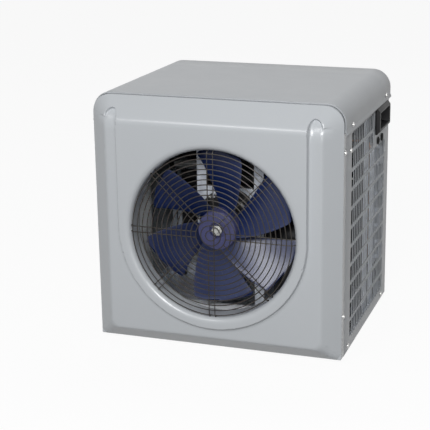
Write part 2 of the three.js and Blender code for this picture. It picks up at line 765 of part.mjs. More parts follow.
const footPlate = 2.5;
const compressorFeet = mountPlaces.map(([x, y]) => {
  const lug = rod(13, shellFoot, shellFoot + footPlate, "z", [x, y, 0], 16);
  const spoke = new THREE.BoxGeometry(mountCircle, 22, footPlate).translate(mountCircle / 2, 0, 0);
  spoke.rotateZ(Math.atan2(y - compressorY, x - compressorX));
  return joined(lug, solid(spoke.translate(compressorX, compressorY, shellFoot + footPlate / 2)));
});
const stubX = compressorX;
const stubY = compressorY + 14;
const shellCan = turned([
  [0, shellFoot], [compressorRadius - 14, shellFoot], [compressorRadius - 3, shellFoot + 8],
  [compressorRadius, shellFoot + 20], [compressorRadius, shellTop - 26],
  [compressorRadius - 4, shellTop - 12], [compressorRadius - 16, shellTop - 3],
  [0, shellTop],
], "z", [compressorX, compressorY, 0]);
const dischargeStub = rod(5.5, shellTop - 12, shellTop + 12, "z", [stubX, stubY, 0], 10);
fitPiece("compressor", joined(shellCan, dischargeStub, ...compressorFeet), "black");

const capPlace = [compressorX - 14, compressorY - 16];
const terminalCap = turned([
  [0, shellTop + fit], [15, shellTop + fit], [15, shellTop + 12], [12, shellTop + 15], [0, shellTop + 15],
], "z", [...capPlace, 0], 16);
fitPiece("compressor_terminal_cover", terminalCap, "black");

const flaskRadius = 17;
const flaskX = 45;
const flaskY = 130;
const flaskFoot = foot + 62;
const flaskTop = flaskFoot + 112;
const flask = turned([
  [0, flaskFoot], [7, flaskFoot], [flaskRadius, flaskFoot + 12], [flaskRadius, flaskTop - 12],
  [5.5, flaskTop], [5.5, flaskTop + 10], [0, flaskTop + 10],
], "z", [flaskX, flaskY, 0], 18);
const strapSpan = Math.hypot(compressorX - flaskX, compressorY - flaskY) - compressorRadius - fit;
const flaskStrap = new THREE.BoxGeometry(strapSpan, 20, 14).translate(strapSpan / 2, 0, 0);
flaskStrap.rotateZ(Math.atan2(compressorY - flaskY, compressorX - flaskX));
fitPiece("suction_accumulator",
  joined(flask, solid(flaskStrap.translate(flaskX, flaskY, flaskFoot + 60))), "black");

// ---------------------------------------------------------------- water heat exchanger

// A plastic tank with a titanium coil: pool water runs round the coil, refrigerant through it.
const tankFoot = trayFloor + fit;
const tankTop = tankFoot + tankHeight;
const waterRadius = 10;
const riserY = tankY + 41;
const waterStubReach = tankY + tankRadius + 6;

const tankShell = cut(
  joined(
    rod(tankRadius, tankFoot, tankTop, "z", [tankX, tankY, 0]),
    rod(waterRadius + 3, tankY + 20, waterStubReach, "y", [inletX, 0, portZ], 16)),
  rod(tankRadius - tankWall, tankFoot + tankWall, tankTop + 1, "z", [tankX, tankY, 0]),
  rod(waterRadius - 2, tankY + 10, waterStubReach + 1, "y", [inletX, 0, portZ], 16));
fitPiece("exchanger_tank", tankShell, "black");

// The lid carries the outlet elbow and lets the two refrigerant ends of the coil through.
const lidTop = tankTop + fit + 6;
const gasX = tankX - 10;
const gasY = tankY - 22;
const liquidX = tankX - 26;
const liquidY = tankY + 8;
const refrigerantRadius = 5;
const lidBoss = [tankX + 16, tankY + 14];
const bossTop = lidTop + 10;
const lid = cut(
  joined(
    rod(tankRadius + 2, tankTop + fit, lidTop, "z", [tankX, tankY, 0]),
    rod(waterRadius + 3, lidTop - 1, bossTop, "z", [...lidBoss, 0], 16)),
  rod(waterRadius - 2, tankTop, bossTop + 1, "z", [...lidBoss, 0], 16),
  rod(refrigerantRadius + fit, tankTop, lidTop + 1, "z", [gasX, gasY, 0], 14),
  rod(refrigerantRadius + fit, tankTop, lidTop + 1, "z", [liquidX, liquidY, 0], 14));
fitPiece("exchanger_lid", lid, "black");

// The coil winds down from the gas end and its other end rises through the middle.
const coilRadius = tankRadius - tankWall - refrigerantRadius - 6;
const coilTurns = 4;
const coilPitch = 24;
function helixCorners() {
  const stops = [];
  const perTurn = 10;
  const start = Math.atan2(gasY - tankY, gasX - tankX);
  const top = tankTop - 24;
  for (let i = 0; i <= coilTurns * perTurn; i += 1) {
    const angle = start + i / perTurn * Math.PI * 2;
    stops.push([tankX + coilRadius * Math.cos(angle), tankY + coilRadius * Math.sin(angle),
      top - i / perTurn * coilPitch]);
  }
  return stops;
}
class Polyline extends Route {
  constructor(corners) {
    super([corners[0], corners[corners.length - 1]], 0);
    this.knots = corners.map((corner) => new THREE.Vector3(...corner));
    this.steps = this.knots.length - 1;
  }
}
const helix = helixCorners();
const helixEnd = helix[helix.length - 1];
const tubeSection = new THREE.Shape();
tubeSection.absarc(0, 0, refrigerantRadius, 0, Math.PI * 2, false);
const coilLine = new Polyline([
  [gasX, gasY, lidTop + 6], [gasX, gasY, tankTop - 8],
  ...helix,
  [tankX + coilRadius * 0.4, tankY - coilRadius * 0.5, helixEnd[2] - 10],
  [liquidX + 8, liquidY - 4, helixEnd[2] - 6],
  [liquidX + 6, liquidY, helixEnd[2] + 8],
  [liquidX + 6, liquidY, tankTop - 20],
  [liquidX, liquidY, tankTop - 6],
  [liquidX, liquidY, lidTop + 6],
]);
fitPiece("titanium_coil", solid(new THREE.ExtrudeGeometry(tubeSection, {
  steps: coilLine.steps, extrudePath: coilLine, curveSegments: 3, bevelEnabled: false,
})), "titanium");

// Water pipes run back under the evaporator to two threaded ports through the rear panel.
const collarPlace = rearInner - fit - collarThickness;
function port(x, start) {
  return turned([
    [waterRadius - 2, start], [waterRadius, start], [waterRadius, collarPlace],
    [portRadius + collarWidth, collarPlace], [portRadius + collarWidth, collarPlace + collarThickness],
    [portRadius, collarPlace + collarThickness], [portRadius, cabinetDepth + portLength],
    [portRadius - 5, cabinetDepth + portLength], [portRadius - 5, rearInner],
    [waterRadius - 2, collarPlace],
  ], "y", [x, 0, portZ], facets.medium);
}

fitPiece("water_inlet_port", port(inletX, waterStubReach + fit), "black");
fitPiece("water_outlet_port", port(outletX, riserY + 14), "black");

const riser = pipe([
  [...lidBoss, bossTop + fit], [...lidBoss, bossTop + 26], [outletX, riserY, bossTop + 26],
  [outletX, riserY, portZ], [outletX, riserY + 14 - fit, portZ],
], waterRadius - 1, 12, 10);
fitPiece("water_outlet_riser", riser, "black");

// ---------------------------------------------------------------- refrigerant pipes

const pipeTop = lidTop + 6 + fit;
const hotGas = pipe([
  [stubX, stubY, shellTop + 12 + fit], [stubX, stubY, pipeTop + 24],
  [gasX, gasY, pipeTop + 24], [gasX, gasY, pipeTop],
], 4.5, 14);
fitPiece("discharge_pipe", hotGas, "copper");

// The filter drier stands between the exchanger and the thin pipe to the evaporator.
const drierX = liquidX - 34;
const drierY = liquidY + 26;
const drierTop = pipeTop - 6;
const drierLength = 74;
const drier = turned([
  [0, drierTop - drierLength], [3.5, drierTop - drierLength], [9, drierTop - drierLength + 10],
  [9, drierTop - 10], [3.5, drierTop], [0, drierTop],
], "z", [drierX, drierY, 0], 14);
fitPiece("filter_drier", drier, "copper");

const liquidLine = pipe([
  [liquidX, liquidY, pipeTop], [liquidX, liquidY, pipeTop + 22],
  [drierX, drierY, pipeTop + 22], [drierX, drierY, drierTop + fit],
], 4, 10);
fitPiece("liquid_pipe", liquidLine, "copper");

const thinRadius = 2.2;
const thinX = flangeMiddle + 2;
const thinY = flangeFront - 8;
const thinEntry = finFoot + 10;
const capillary = pipe([
  [drierX, drierY, drierTop - drierLength - fit], [drierX, drierY, drierTop - drierLength - 14],
  [drierX - 16, drierY, drierTop - drierLength - 14], [drierX - 16, drierY, pipeTop + 44],
  [thinX, thinY, pipeTop + 44], [thinX, thinY, thinEntry], [thinX, flangeFront - fit, thinEntry],
], thinRadius, 10, 6);
fitPiece("expansion_capillary", capillary, "copper");

const suctionEntry = finTop - 9;
const suction = pipe([
  [flangeMiddle, flangeFront - fit, suctionEntry], [flangeMiddle, flangeFront - 24, suctionEntry],
  [flaskX, flaskY, suctionEntry], [flaskX, flaskY, flaskTop + 10 + fit],
], 4.8, 16);
fitPiece("suction_pipe", suction, "copper");

// ---------------------------------------------------------------- electrical box

const boxRight = boxLeft + boxWidth;
const boxBack = boxFront + boxDepth;
const boxZ = foot + boxFoot;
const boxCeiling = boxZ + boxHeight;
const boxShell = cut(
  joined(
    block(boxLeft, boxRight, boxFront, boxBack, boxZ, boxCeiling),
    block(-sideInner + fit, boxLeft + 1, boxFront + 8, boxBack - 8, boxCeiling - 2, boxCeiling),
    block(-sideInner + fit, -sideInner + fit + 2, boxFront + 8, boxBack - 8, boxCeiling - 24, boxCeiling)),
  block(boxLeft + boxWall, boxRight - boxWall, boxFront - 1, boxBack - boxWall,
    boxZ + boxWall, boxCeiling - boxWall));
fitPiece("electrical_box", boxShell, "black");

const lidPlate = joined(
  block(boxLeft, boxRight, boxFront - fit - 2, boxFront - fit, boxZ, boxCeiling),
  block(boxLeft + boxWall + fit, boxRight - boxWall - fit, boxFront - fit - 1, boxFront + 5,
    boxCeiling - boxWall - fit - 2, boxCeiling - boxWall - fit));
fitPiece("electrical_box_lid", lidPlate, "black");

const boardGap = 0.5;
const boardBody = joined(
  block(boxLeft + boxWall + 6, boxRight - boxWall - 6, boxBack - boxWall - 10, boxBack - boxWall - 8.4,
    boxZ + boxWall + 8, boxCeiling - boxWall - 8),
  ...[[12, 14], [12, 92], [84, 14], [84, 92]].map(([x, z]) => (
    block(boxLeft + boxWall + x, boxLeft + boxWall + x + 6,
      boxBack - boxWall - 9, boxBack - boxWall - boardGap,
      boxZ + boxWall + z, boxZ + boxWall + z + 6))),
  block(boxLeft + 24, boxLeft + 48, boxBack - boxWall - 34, boxBack - boxWall - 9, boxZ + 30, boxZ + 56),
  block(boxLeft + 60, boxLeft + 88, boxBack - boxWall - 26, boxBack - boxWall - 9, boxZ + 62, boxZ + 84));
fitPiece("control_board", boardBody, "board");

// The run capacitor lies in front of the lid, near its lower edge.
const canRadius = 9;
const canLength = 38;
const capacitor = turned([
  [0, 0], [canRadius, 0], [canRadius, canLength], [canRadius - 2, canLength + 1.5],
  [2.5, canLength + 1.5], [2.5, canLength + 8], [0, canLength + 8],
], "x", [boxLeft + 14, boxFront - fit - 2 - fit - canRadius, boxZ + 14], 16);
fitPiece("run_capacitor", capacitor, "steel");

// ---------------------------------------------------------------- side panels

// The grille's slots are cut in rows. Beside the carry handle the two top rows stop short.
const slotShort = gripFront - 6;

function slots(short) {
  const cuts = [];
  for (let row = 0; row < slotRows; row += 1) {
    const z = foot + slotFoot + row * slotPitch;
    const end = row >= slotRows - 2 ? short : slotBack;
    cuts.push(block(halfWidth - 20, halfWidth + 20, slotFront, end, z, z + slotHeight));
  }
  return cuts;
}

const sideTop = coverTop - coverCorner - 1;
const grip = {
  y0: gripFront, y1: gripFront + gripLength, z0: foot + gripFoot, z1: foot + gripFoot + gripHeight,
};
const gripInset = gripRim - gripWall;

// The front edge is joggled inwards to lie behind the front panel's skirt, and the lower edge
// overlaps the tray.
function sidePanel() {
  const tongue = halfWidth - moulding - fit;
  return joined(
    block(sideInner, halfWidth, skirtDepth + fit, rearInner - fit, foot, sideTop),
    block(tongue - sheet, halfWidth, skirtDepth + fit, skirtDepth + fit + sheet, foot + trayRim + 2, sideTop),
    block(tongue - sheet, tongue, 2, skirtDepth + fit + sheet, foot + trayRim + 2, sideTop));
}

function gripWindow(side) {
  const [near, far] = [halfWidth - 20, halfWidth + 20];
  return block(side > 0 ? near : -far, side > 0 ? far : -near,
    grip.y0 + gripInset - fit, grip.y1 - gripInset + fit,
    grip.z0 + gripInset - fit, grip.z1 - gripInset + fit);
}

// Two cable glands leave through the right side below the handle.
const glandRadius = 4.9;
const cableRadius = 3.1;
const glandPlaces = [[grip.y0 + 20, foot + 264.5], [grip.y0 + 46, foot + 264.5]];
const glandHoles = glandPlaces.map(([y, z]) => (
  rod(glandRadius + fit, halfWidth - 20, halfWidth + 20, "x", [0, y, z], 16)));
glandPlaces.forEach(([y, z], i) => {
  const gland = turned([
    [cableRadius, sideInner - 8], [glandRadius, sideInner - 8], [glandRadius, halfWidth + fit],
    [glandRadius + 1.6, halfWidth + fit], [glandRadius + 0.8, halfWidth + 3],
    [cableRadius, halfWidth + 3],
  ], "x", [0, y, z], 16);
  fitPiece(`cable_gland_${i + 1}`, gland, "rubber");
});

fitPiece("right_side_panel",
  cut(sidePanel(), ...slots(slotShort), gripWindow(1), ...glandHoles, ...screws.map(screwHole)), "casing");
fitPiece("left_side_panel",
  cut(reflected(sidePanel()), gripWindow(-1), ...screws.map(screwHole)), "casing");

// ---------------------------------------------------------------- carry handles

// A moulded cup with a rim that stands out of the side. The fingers go in through its window
// and up behind the top rim.
function carryHandle() {
  const outer = halfWidth + fit + gripStand;
  const floor = halfWidth - gripDepth;
  const rimSection = new THREE.Shape([
    new THREE.Vector2(grip.y0, grip.z0), new THREE.Vector2(grip.y1, grip.z0),
    new THREE.Vector2(grip.y1, grip.z1), new THREE.Vector2(grip.y0, grip.z1),
  ]);
  const bezel = cut(
    pressedX(rimSection, halfWidth + fit, outer),
    gripChamfer(outer, 1), gripChamfer(outer, -1));
  const cup = block(floor, halfWidth + fit + 1, grip.y0 + gripInset, grip.y1 - gripInset,
    grip.z0 + gripInset, grip.z1 - gripInset);
  const pocket = block(floor + gripWall, outer + 1, grip.y0 + gripRim, grip.y1 - gripRim,
    grip.z0 + gripRim, grip.z1 - gripRim);
  return cut(joined(bezel, cup), pocket);
}

// The rim's upper and lower outer edges are sloped.
function gripChamfer(outer, side) {
  const edge = side > 0 ? grip.z1 : grip.z0;
  const size = 5;
  const slope = new THREE.Shape([
    new THREE.Vector2(outer - size, edge + side * 0.01), new THREE.Vector2(outer + 1, edge - side * size),
    new THREE.Vector2(outer + 1, edge + side * 4), new THREE.Vector2(outer - size, edge + side * 4),
  ]);
  return pressedY(slope, grip.y0 - 1, grip.y1 + 1);
}
const handle = carryHandle();
fitPiece("carry_handle_right", handle, "black");
fitPiece("carry_handle_left", reflected(handle), "black");

// ---------------------------------------------------------------- rear panel

// Slots in two columns above the water ports.
const rearColumns = [[-150, -4], [4, 150]];
const rearFirstRow = 2;
const rearSlots = [];
for (let row = rearFirstRow; row < slotRows; row += 1) {
  const z = foot + slotFoot + row * slotPitch;
  rearColumns.forEach(([x0, x1]) => {
    rearSlots.push(block(x0, x1, cabinetDepth - 10, cabinetDepth + 10, z, z + slotHeight));
  });
}
const rearOutline = arch(halfWidth, foot, rim, panelCorner);
fitPiece("rear_panel",
  cut(pressedY(rearOutline, rearInner, cabinetDepth), ...rearSlots, ...portHoles(portRadius)), "casing");

// ---------------------------------------------------------------- top cover

// One sheet bent over the cabinet, with a flange down each side.
const coverOuter = arch(coverHalf, foot + coverHem, coverTop, coverCorner);
const coverInner = arch(coverHalf - sheet, foot + coverHem - 1, coverTop - sheet, coverCorner - sheet);
const cover = cut(
  pressedY(coverOuter, coverFront, cabinetDepth),
  pressedY(coverInner, coverFront - 1, cabinetDepth + 1),
  ...coverScrews.map(screwHole));
fitPiece("top_cover", cover, "casing");

const model = new THREE.Group();
model.add(unit);

export default model;
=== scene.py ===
import json
import math

import bmesh
import bpy
import numpy as np
from mathutils import Matrix, Vector
from mathutils.geometry import delaunay_2d_cdt


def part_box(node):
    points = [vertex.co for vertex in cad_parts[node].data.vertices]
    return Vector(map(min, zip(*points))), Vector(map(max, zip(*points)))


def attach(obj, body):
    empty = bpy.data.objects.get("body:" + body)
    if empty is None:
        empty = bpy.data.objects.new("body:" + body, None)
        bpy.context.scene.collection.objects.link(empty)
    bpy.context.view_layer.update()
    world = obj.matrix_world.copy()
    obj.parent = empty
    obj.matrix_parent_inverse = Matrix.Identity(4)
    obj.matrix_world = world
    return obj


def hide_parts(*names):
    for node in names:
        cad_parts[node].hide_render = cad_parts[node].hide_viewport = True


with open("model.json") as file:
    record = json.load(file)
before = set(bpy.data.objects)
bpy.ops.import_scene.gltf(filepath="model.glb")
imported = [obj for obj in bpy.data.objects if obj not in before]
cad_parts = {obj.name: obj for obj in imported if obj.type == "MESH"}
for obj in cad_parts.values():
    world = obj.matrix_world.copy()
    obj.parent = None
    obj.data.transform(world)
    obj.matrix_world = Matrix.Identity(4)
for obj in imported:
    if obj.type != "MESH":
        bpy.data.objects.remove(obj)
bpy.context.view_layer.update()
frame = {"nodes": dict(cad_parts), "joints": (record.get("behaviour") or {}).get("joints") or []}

nodes = frame["nodes"]


# ---------------------------------------------------------------- camera and studio
# The unit stands on a pale floor in a white studio. The camera is low, a little to the
# right of the fan and level enough to show the cover, the front and the slotted side.

view_azimuth = math.radians(17.93)
view_elevation = math.radians(15.50)
view_roll = math.radians(0.406)
view_distance = 1.648
aim = Vector((0.0542, -0.1455, 0.2344))

toward_camera = Vector((
    math.sin(view_azimuth) * math.cos(view_elevation),
    -math.cos(view_azimuth) * math.cos(view_elevation),
    math.sin(view_elevation)))
level_right = Vector((math.cos(view_azimuth), math.sin(view_azimuth), 0))
level_up = toward_camera.cross(level_right)
camera_right = level_right * math.cos(view_roll) - level_up * math.sin(view_roll)
camera_up = level_right * math.sin(view_roll) + level_up * math.cos(view_roll)

camera_data = bpy.data.cameras.new("studio_camera")
camera_data.sensor_width = 36
camera_data.lens = 101.3
camera_data.shift_x = -0.0893
camera_data.shift_y = -0.0497
camera = bpy.data.objects.new("studio_camera", camera_data)
camera.matrix_world = Matrix.Translation(aim + toward_camera * view_distance) @ Matrix((
    (camera_right.x, camera_up.x, toward_camera.x),
    (camera_right.y, camera_up.y, toward_camera.y),
    (camera_right.z, camera_up.z, toward_camera.z))).to_4x4()
bpy.context.collection.objects.link(camera)
bpy.context.scene.camera = camera
bpy.context.scene.view_settings.view_transform = "Standard"


class Signal:
    """A value in a material. Arithmetic on signals adds the material's Math nodes."""

    def __init__(self, tree, socket=None):
        self.tree = tree
        self.socket = socket

    def node(self, kind, settings=None, inputs=None, output=0):
        """Adds a node: its settings first, then the values or links of its sockets."""
        made = self.tree.nodes.new("ShaderNode" + kind)
        for name, value in (settings or {}).items():
            if name == "stops":
                ramp = made.color_ramp
                while len(ramp.elements) < len(value):
                    ramp.elements.new(0.5)
                for stop, (place, shade) in zip(ramp.elements, value):
                    stop.position = place
                    stop.color = shade if len(shade) == 4 else (*shade, 1)
            else:
                setattr(made, name, value)
        for name, value in (inputs or {}).items():
            if isinstance(value, Signal):
                self.tree.links.new(value.socket, made.inputs[name])
            else:
                made.inputs[name].default_value = value
        return Signal(self.tree, made.outputs[output] if made.outputs else None)

    def sum_with(self, operation, first, second):
        return self.node("Math", {"operation": operation}, {0: first, 1: second})

    def __add__(self, other):
        return self.sum_with("ADD", self, other)

    def __radd__(self, other):
        return self.sum_with("ADD", other, self)

    def __sub__(self, other):
        return self.sum_with("SUBTRACT", self, other)

    def __rsub__(self, other):
        return self.sum_with("SUBTRACT", other, self)

    def __mul__(self, other):
        return self.sum_with("MULTIPLY", self, other)

    def __rmul__(self, other):
        return self.sum_with("MULTIPLY", other, self)

    def blend(self, first, second):
        """A colour that goes from first to second as this signal goes from 0 to 1."""
        colour_a, colour_b, colour_out = 6, 7, 2
        return self.node("Mix", {"data_type": "RGBA"},
                         {0: self, colour_a: first, colour_b: second}, colour_out)

    def between(self, low, high):
        """0 below low, 1 above high, and smooth in between."""
        return self.node("MapRange", {"interpolation_type": "SMOOTHSTEP"},
                         {"Value": self, "From Min": low, "From Max": high})


def start_finish(name):
    """An empty material, and a signal that carries the place on the object in metres."""
    material = bpy.data.materials.new(name)
    material.use_nodes = True
    material.node_tree.nodes.clear()
    object_place = 3
    place = Signal(material.node_tree).node("TexCoord", output=object_place)
    return material, place


def end_finish(material, inputs):
    """Feeds the shader of a material and joins it to the surface."""
    shader = Signal(material.node_tree).node("BsdfPrincipled", None, inputs)
    shader.node("OutputMaterial", None, {"Surface": shader})
    return material


def noise(place, scale, detail=2.0, output=0):
    return place.node("TexNoise", None, {"Vector": place, "Scale": scale, "Detail": detail}, output)


def bump(height, strength, distance):
    return height.node("Bump", None, {"Height": height, "Strength": strength, "Distance": distance})


# The floor shows white to the camera and in reflections, apart from the unit's soft shadow.
floor_mesh = bpy.data.meshes.new("studio_floor")
floor_half = 9
floor_mesh.from_pydata([(-floor_half, -floor_half, 0), (floor_half, -floor_half, 0),
                        (floor_half, floor_half, 0), (-floor_half, floor_half, 0)],
                       [], [(0, 1, 2, 3)])
floor = bpy.data.objects.new("studio_floor", floor_mesh)
bpy.context.collection.objects.link(floor)
floor_finish = bpy.data.materials.new("studio_floor")
floor_finish.use_nodes = True
floor_finish.node_tree.nodes.clear()
camera_ray, glossy_ray, transmitted_ray = 0, 3, 6
white_colour = (1, 1, 1, 1)
bounce_grey = (0.12, 0.12, 0.12, 1)
paper_white = (0.95, 0.95, 0.95, 1)
glow_share = 0.93
start = Signal(floor_finish.node_tree)
seen = start.node("LightPath", output=camera_ray) + start.node("LightPath", output=glossy_ray)
paper = start.node("BsdfDiffuse", None, {"Color": seen.blend(bounce_grey, paper_white)})
glow = start.node("Emission", None, {"Color": white_colour, "Strength": 1.0})
mixed = start.node("MixShader", None, {0: seen * glow_share, 1: paper, 2: glow})
start.node("OutputMaterial", None, {"Surface": mixed})
floor_mesh.materials.append(floor_finish)

world = bpy.data.worlds.new("studio")
bpy.context.scene.world = world
world.use_nodes = True
world.node_tree.nodes.clear()
start = Signal(world.node_tree)
seen = start.node("LightPath", output=camera_ray) + start.node("LightPath", output=glossy_ray)
seen = seen + start.node("LightPath", output=transmitted_ray)
fill_level = 0.09
sky = start.node("Background", None, {"Color": white_colour, "Strength": fill_level})
white = start.node("Background", None, {"Color": white_colour, "Strength": 1.0})
mixed = start.node("MixShader", None, {0: seen, 1: sky, 2: white})
start.node("OutputWorld", None, {"Surface": mixed})


def softbox(name, place, target, width, height, power):
    lamp = bpy.data.lights.new(name, "AREA")
    lamp.shape = "RECTANGLE"
    lamp.size = width
    lamp.size_y = height
    lamp.energy = power
    box = bpy.data.objects.new(name, lamp)
    box.location = place
    box.rotation_euler = (Vector(target) - Vector(place)).to_track_quat("-Z", "Y").to_euler()
    bpy.context.collection.objects.link(box)


softbox("key_softbox", (0.50, -2.20, 1.32), (0, 0, 0.18), 1.0, 0.7, 41)
softbox("edge_softbox", (-0.72, -2.10, 1.72), (0, 0, 0.33), 0.7, 0.35, 9)
softbox("low_softbox", (1.1, -2.3, 0.35), (0, 0, 0.18), 0.7, 0.5, 5)
softbox("rear_softbox", (0, 0.9, 2.2), (0, 0, 0.3), 1.2, 0.8, 10)


# ---------------------------------------------------------------- front panel
# One moulding of light grey plastic: a rim that wraps back round the cabinet, sloped edges, a
# flat shoulder, and a U-shaped apron that stands 6 mm in front of it. Two round-topped flutes
# run up beside the apron, and a bell mouth leads the air to the fan.

mm = 0.001
panel_low, panel_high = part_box("front_panel")
panel_half = panel_high.x
rim_rise = 26 * mm
rim_y = panel_low.y + rim_rise
skirt_y = panel_high.y
fan_centre = Vector(frame["joints"][0]["pos_m"])
fan_z = fan_centre.z
shoulder_rise = 20 * mm
side_bevel = 25 * mm
foot_bevel = 19.5 * mm
crown_bevel = 30.5 * mm
top_round = 26 * mm
shoulder_round = 12 * mm
apron_half = 137 * mm
flute_top = panel_low.z + 340 * mm
throat_radius = 119 * mm
lip = 10 * mm
edge_softness = 2.2 * mm
crown_softness = 5.5 * mm
floor_softness = 13 * mm
step_softness = 1.3 * mm
step_hollow = 7 * mm
step_first = 0.80       # of the step's drop, at its edge
step_rest = 0.20        # taken by the soft hollow beside it
foot_round = 1.5 * mm
last_share = 1.2
crown_reach = 14 * mm
crown_fade = 5 * mm
flute_width = panel_half - side_bevel - apron_half
flute_peak = 0.38       # of its width, from the apron
flute_arch = 0.65 * flute_width
flute_round = flute_top - flute_arch
corner_steps = 12
moulding_wall = 2.2 * mm


def loop_sizes(share):
    """Half the width, the low and high edges, and the upper and lower corners of a loop."""
    half = panel_half - side_bevel * share
    low = panel_low.z + foot_bevel * share
    high = panel_high.z - crown_bevel * share * shoulder_rise / rim_rise
    upper = top_round - (top_round - shoulder_round) * np.minimum(share, last_share)
    lower = foot_round + (shoulder_round - foot_round) * np.minimum(share, last_share)
    return half, low, high, upper, lower


def outline(share, gap=5 * mm):
    """The loop that the slope of the rim passes at a share of its way to the shoulder."""
    half, low, high, upper, lower = loop_sizes(share)
    loop = []
    for x, z, radius, begin in (
            (half - lower, low + lower, lower, -90), (half - upper, high - upper, upper, 0),
            (upper - half, high - upper, upper, 90), (lower - half, low + lower, lower, 180)):
        for i in range(corner_steps + 1):
            angle = math.radians(begin + 90 * i / corner_steps)
            loop.append((x + radius * math.cos(angle), z + radius * math.sin(angle)))
    filled = []
    for (x0, z0), (x1, z1) in zip(loop, loop[1:] + loop[:1]):
        pieces = max(1, round(math.hypot(x1 - x0, z1 - z0) / gap))
        filled += [(x0 + (x1 - x0) * i / pieces, z0 + (z1 - z0) * i / pieces)
                   for i in range(pieces)]
    return filled


def margin(x, z, share):
    """How far a point lies inside the loop of that share; less than 0 is outside."""
    half, low, high, upper, lower = loop_sizes(share)
    middle = (low + high) / 2
    radius = np.where(z > middle, upper, lower)
    across = np.abs(x) - (half - radius)
    along = np.abs(z - middle) - ((high - low) / 2 - radius)
    corner = np.hypot(np.maximum(across, 0), np.maximum(along, 0))
    return radius - corner - np.minimum(np.maximum(across, along), 0)


def soft_min(first, second, softness):
    """The lower of two heights, with a round of that softness where they cross."""
    near = np.maximum(softness - np.abs(first - second), 0) / softness
    return np.minimum(first, second) - near * near * softness / 4


def panel_rise(x, z):
    """How far the panel's face stands in front of the rim."""
    widest_share = 1.6
    halvings = 24
    low_share = np.zeros_like(x)
    high_share = np.full_like(x, widest_share)
    for _ in range(halvings):
        share = (low_share + high_share) / 2
        inside = margin(x, z, share) > 0
        low_share = np.where(inside, share, low_share)
        high_share = np.where(inside, high_share, share)
    slope = shoulder_rise * low_share
    crown = (panel_high.z - z) * rim_rise / crown_bevel
    near_top = np.clip((z - panel_high.z + crown_bevel + crown_reach) / crown_fade, 0, 1)
    raised = soft_min(slope, rim_rise, edge_softness + (crown_softness - edge_softness) * near_top)
    step = rim_rise - shoulder_rise
    lowered = soft_min(soft_min(slope, shoulder_rise, edge_softness), crown - step, floor_softness)
    beside_apron = np.where(z > fan_z, np.abs(x), np.hypot(x, z - fan_z)) - apron_half
    off_peak = np.abs(x) - apron_half - flute_peak * flute_width
    off_peak = off_peak / np.where(off_peak < 0, flute_peak, 1 - flute_peak) / flute_width
    under_round = (1 - np.hypot(off_peak, (z - flute_round) / flute_arch)) * flute_width / 2
    depth = np.where(z > flute_round, np.minimum(beside_apron, under_round), beside_apron)
    share = np.clip(depth / step_softness / 2 + 0.5, 0, 1)
    share = share * share * (3 - 2 * share)
    hollow = np.clip(depth / step_hollow, 0, 1)
    share = share * (step_first + step_rest * hollow * (2 - hollow))
    rise = raised * (1 - share) + lowered * share
    radius = np.hypot(x, z - fan_z)
    round_in = np.clip(throat_radius + lip - radius, 0, lip)
    mouth = rim_rise - lip + np.sqrt(lip * lip - round_in * round_in)
    return np.minimum(rise, mouth)


def ring(radius, count, begin=0.0, turn=360.0):
    """Points on a circle, or on a part of one, about the fan's axis."""
    angles = [math.radians(begin + turn * i / count) for i in range(count + (turn < 360))]
    return [(radius * math.cos(a), fan_z + radius * math.sin(a)) for a in angles]


def panel_points():
    """Boundary loops first, then points along every rounded edge, then a loose filling."""
    mouth_points = 128
    along_flute = 3 * mm
    arch_steps = 22
    grid = 12
    rim_loop = outline(0)
    throat = ring(throat_radius, mouth_points)
    points = list(rim_loop) + list(throat)
    for share in (0.04, 0.45, 0.84, 0.9, 0.93, 0.96, 0.99, 1.02, 1.05, 1.08, 1.12, 1.18, 1.3):
        points += outline(share, gap=4 * mm)
    for i in range(1, 9):
        points += ring(throat_radius + lip * (1 - math.cos(math.pi * i / 16)), mouth_points)
    for offset in (-2.6, -1.5, -1.1, -0.7, -0.2, 0.3, 0.8, 1.2, 1.6, 2.6, 4.0, 5.4, 7.0):
        radius = apron_half + offset * mm
        points += ring(radius, 110, 180, 180)
        height = fan_z + along_flute
        while height < flute_top:
            points += [(radius, height), (-radius, height)]
            height += along_flute
        inward = 1 - 2 * offset * mm / flute_width
        for i in range(arch_steps + 1):
            angle = math.pi * i / arch_steps
            reach = 1 - flute_peak if i < arch_steps / 2 else flute_peak
            x = apron_half + flute_width * (flute_peak + reach * inward * math.cos(angle))
            z = flute_top + flute_arch * (inward * math.sin(angle) - 1)
            points += [(x, z), (-x, z)]
    ridge = panel_high.z - crown_bevel
    for offset in (-6.5, -5.3, -4.3, -3.4, -2.4, -1.6, -0.9, 0, 0.9, 1.8, 2.8, 3.8, 4.8, 6, 7.4, 9,
                   11, 15, 22):
        points += [(x * 3 * mm, ridge + offset * mm) for x in range(-52, 53)]
    for x in range(-14, 15):
        for z in range(0, 29):
            points.append((x * grid * mm, panel_low.z + 15 * mm + z * grid * mm))
    return points, len(rim_loop), len(throat)


def thin_out(points, fixed, spacing):
    """Drops each point that lies in the same small square as one before it."""
    kept = list(points[:fixed])
    taken = {(round(x / spacing), round(z / spacing)) for x, z in kept}
    for x, z in points[fixed:]:
        square = (round(x / spacing), round(z / spacing))
        if square not in taken:
            taken.add(square)
            kept.append((x, z))
    return kept


def piece(name, vertices, faces, finish, smooth=35):
    """A mesh object with that finish, smooth except over edges sharper than the angle."""
    mesh = bpy.data.meshes.new(name)
    mesh.from_pydata([tuple(v) for v in vertices], [], [tuple(f) for f in faces])
    mesh.validate()
    made = bmesh.new()
    made.from_mesh(mesh)
    bmesh.ops.recalc_face_normals(made, faces=made.faces)
    made.to_mesh(mesh)
    made.free()
    mesh.shade_smooth()
    mesh.set_sharp_from_angle(angle=math.radians(smooth))
    mesh.materials.append(finish)
    made = bpy.data.objects.new(name, mesh)
    bpy.context.collection.objects.link(made)
    return made


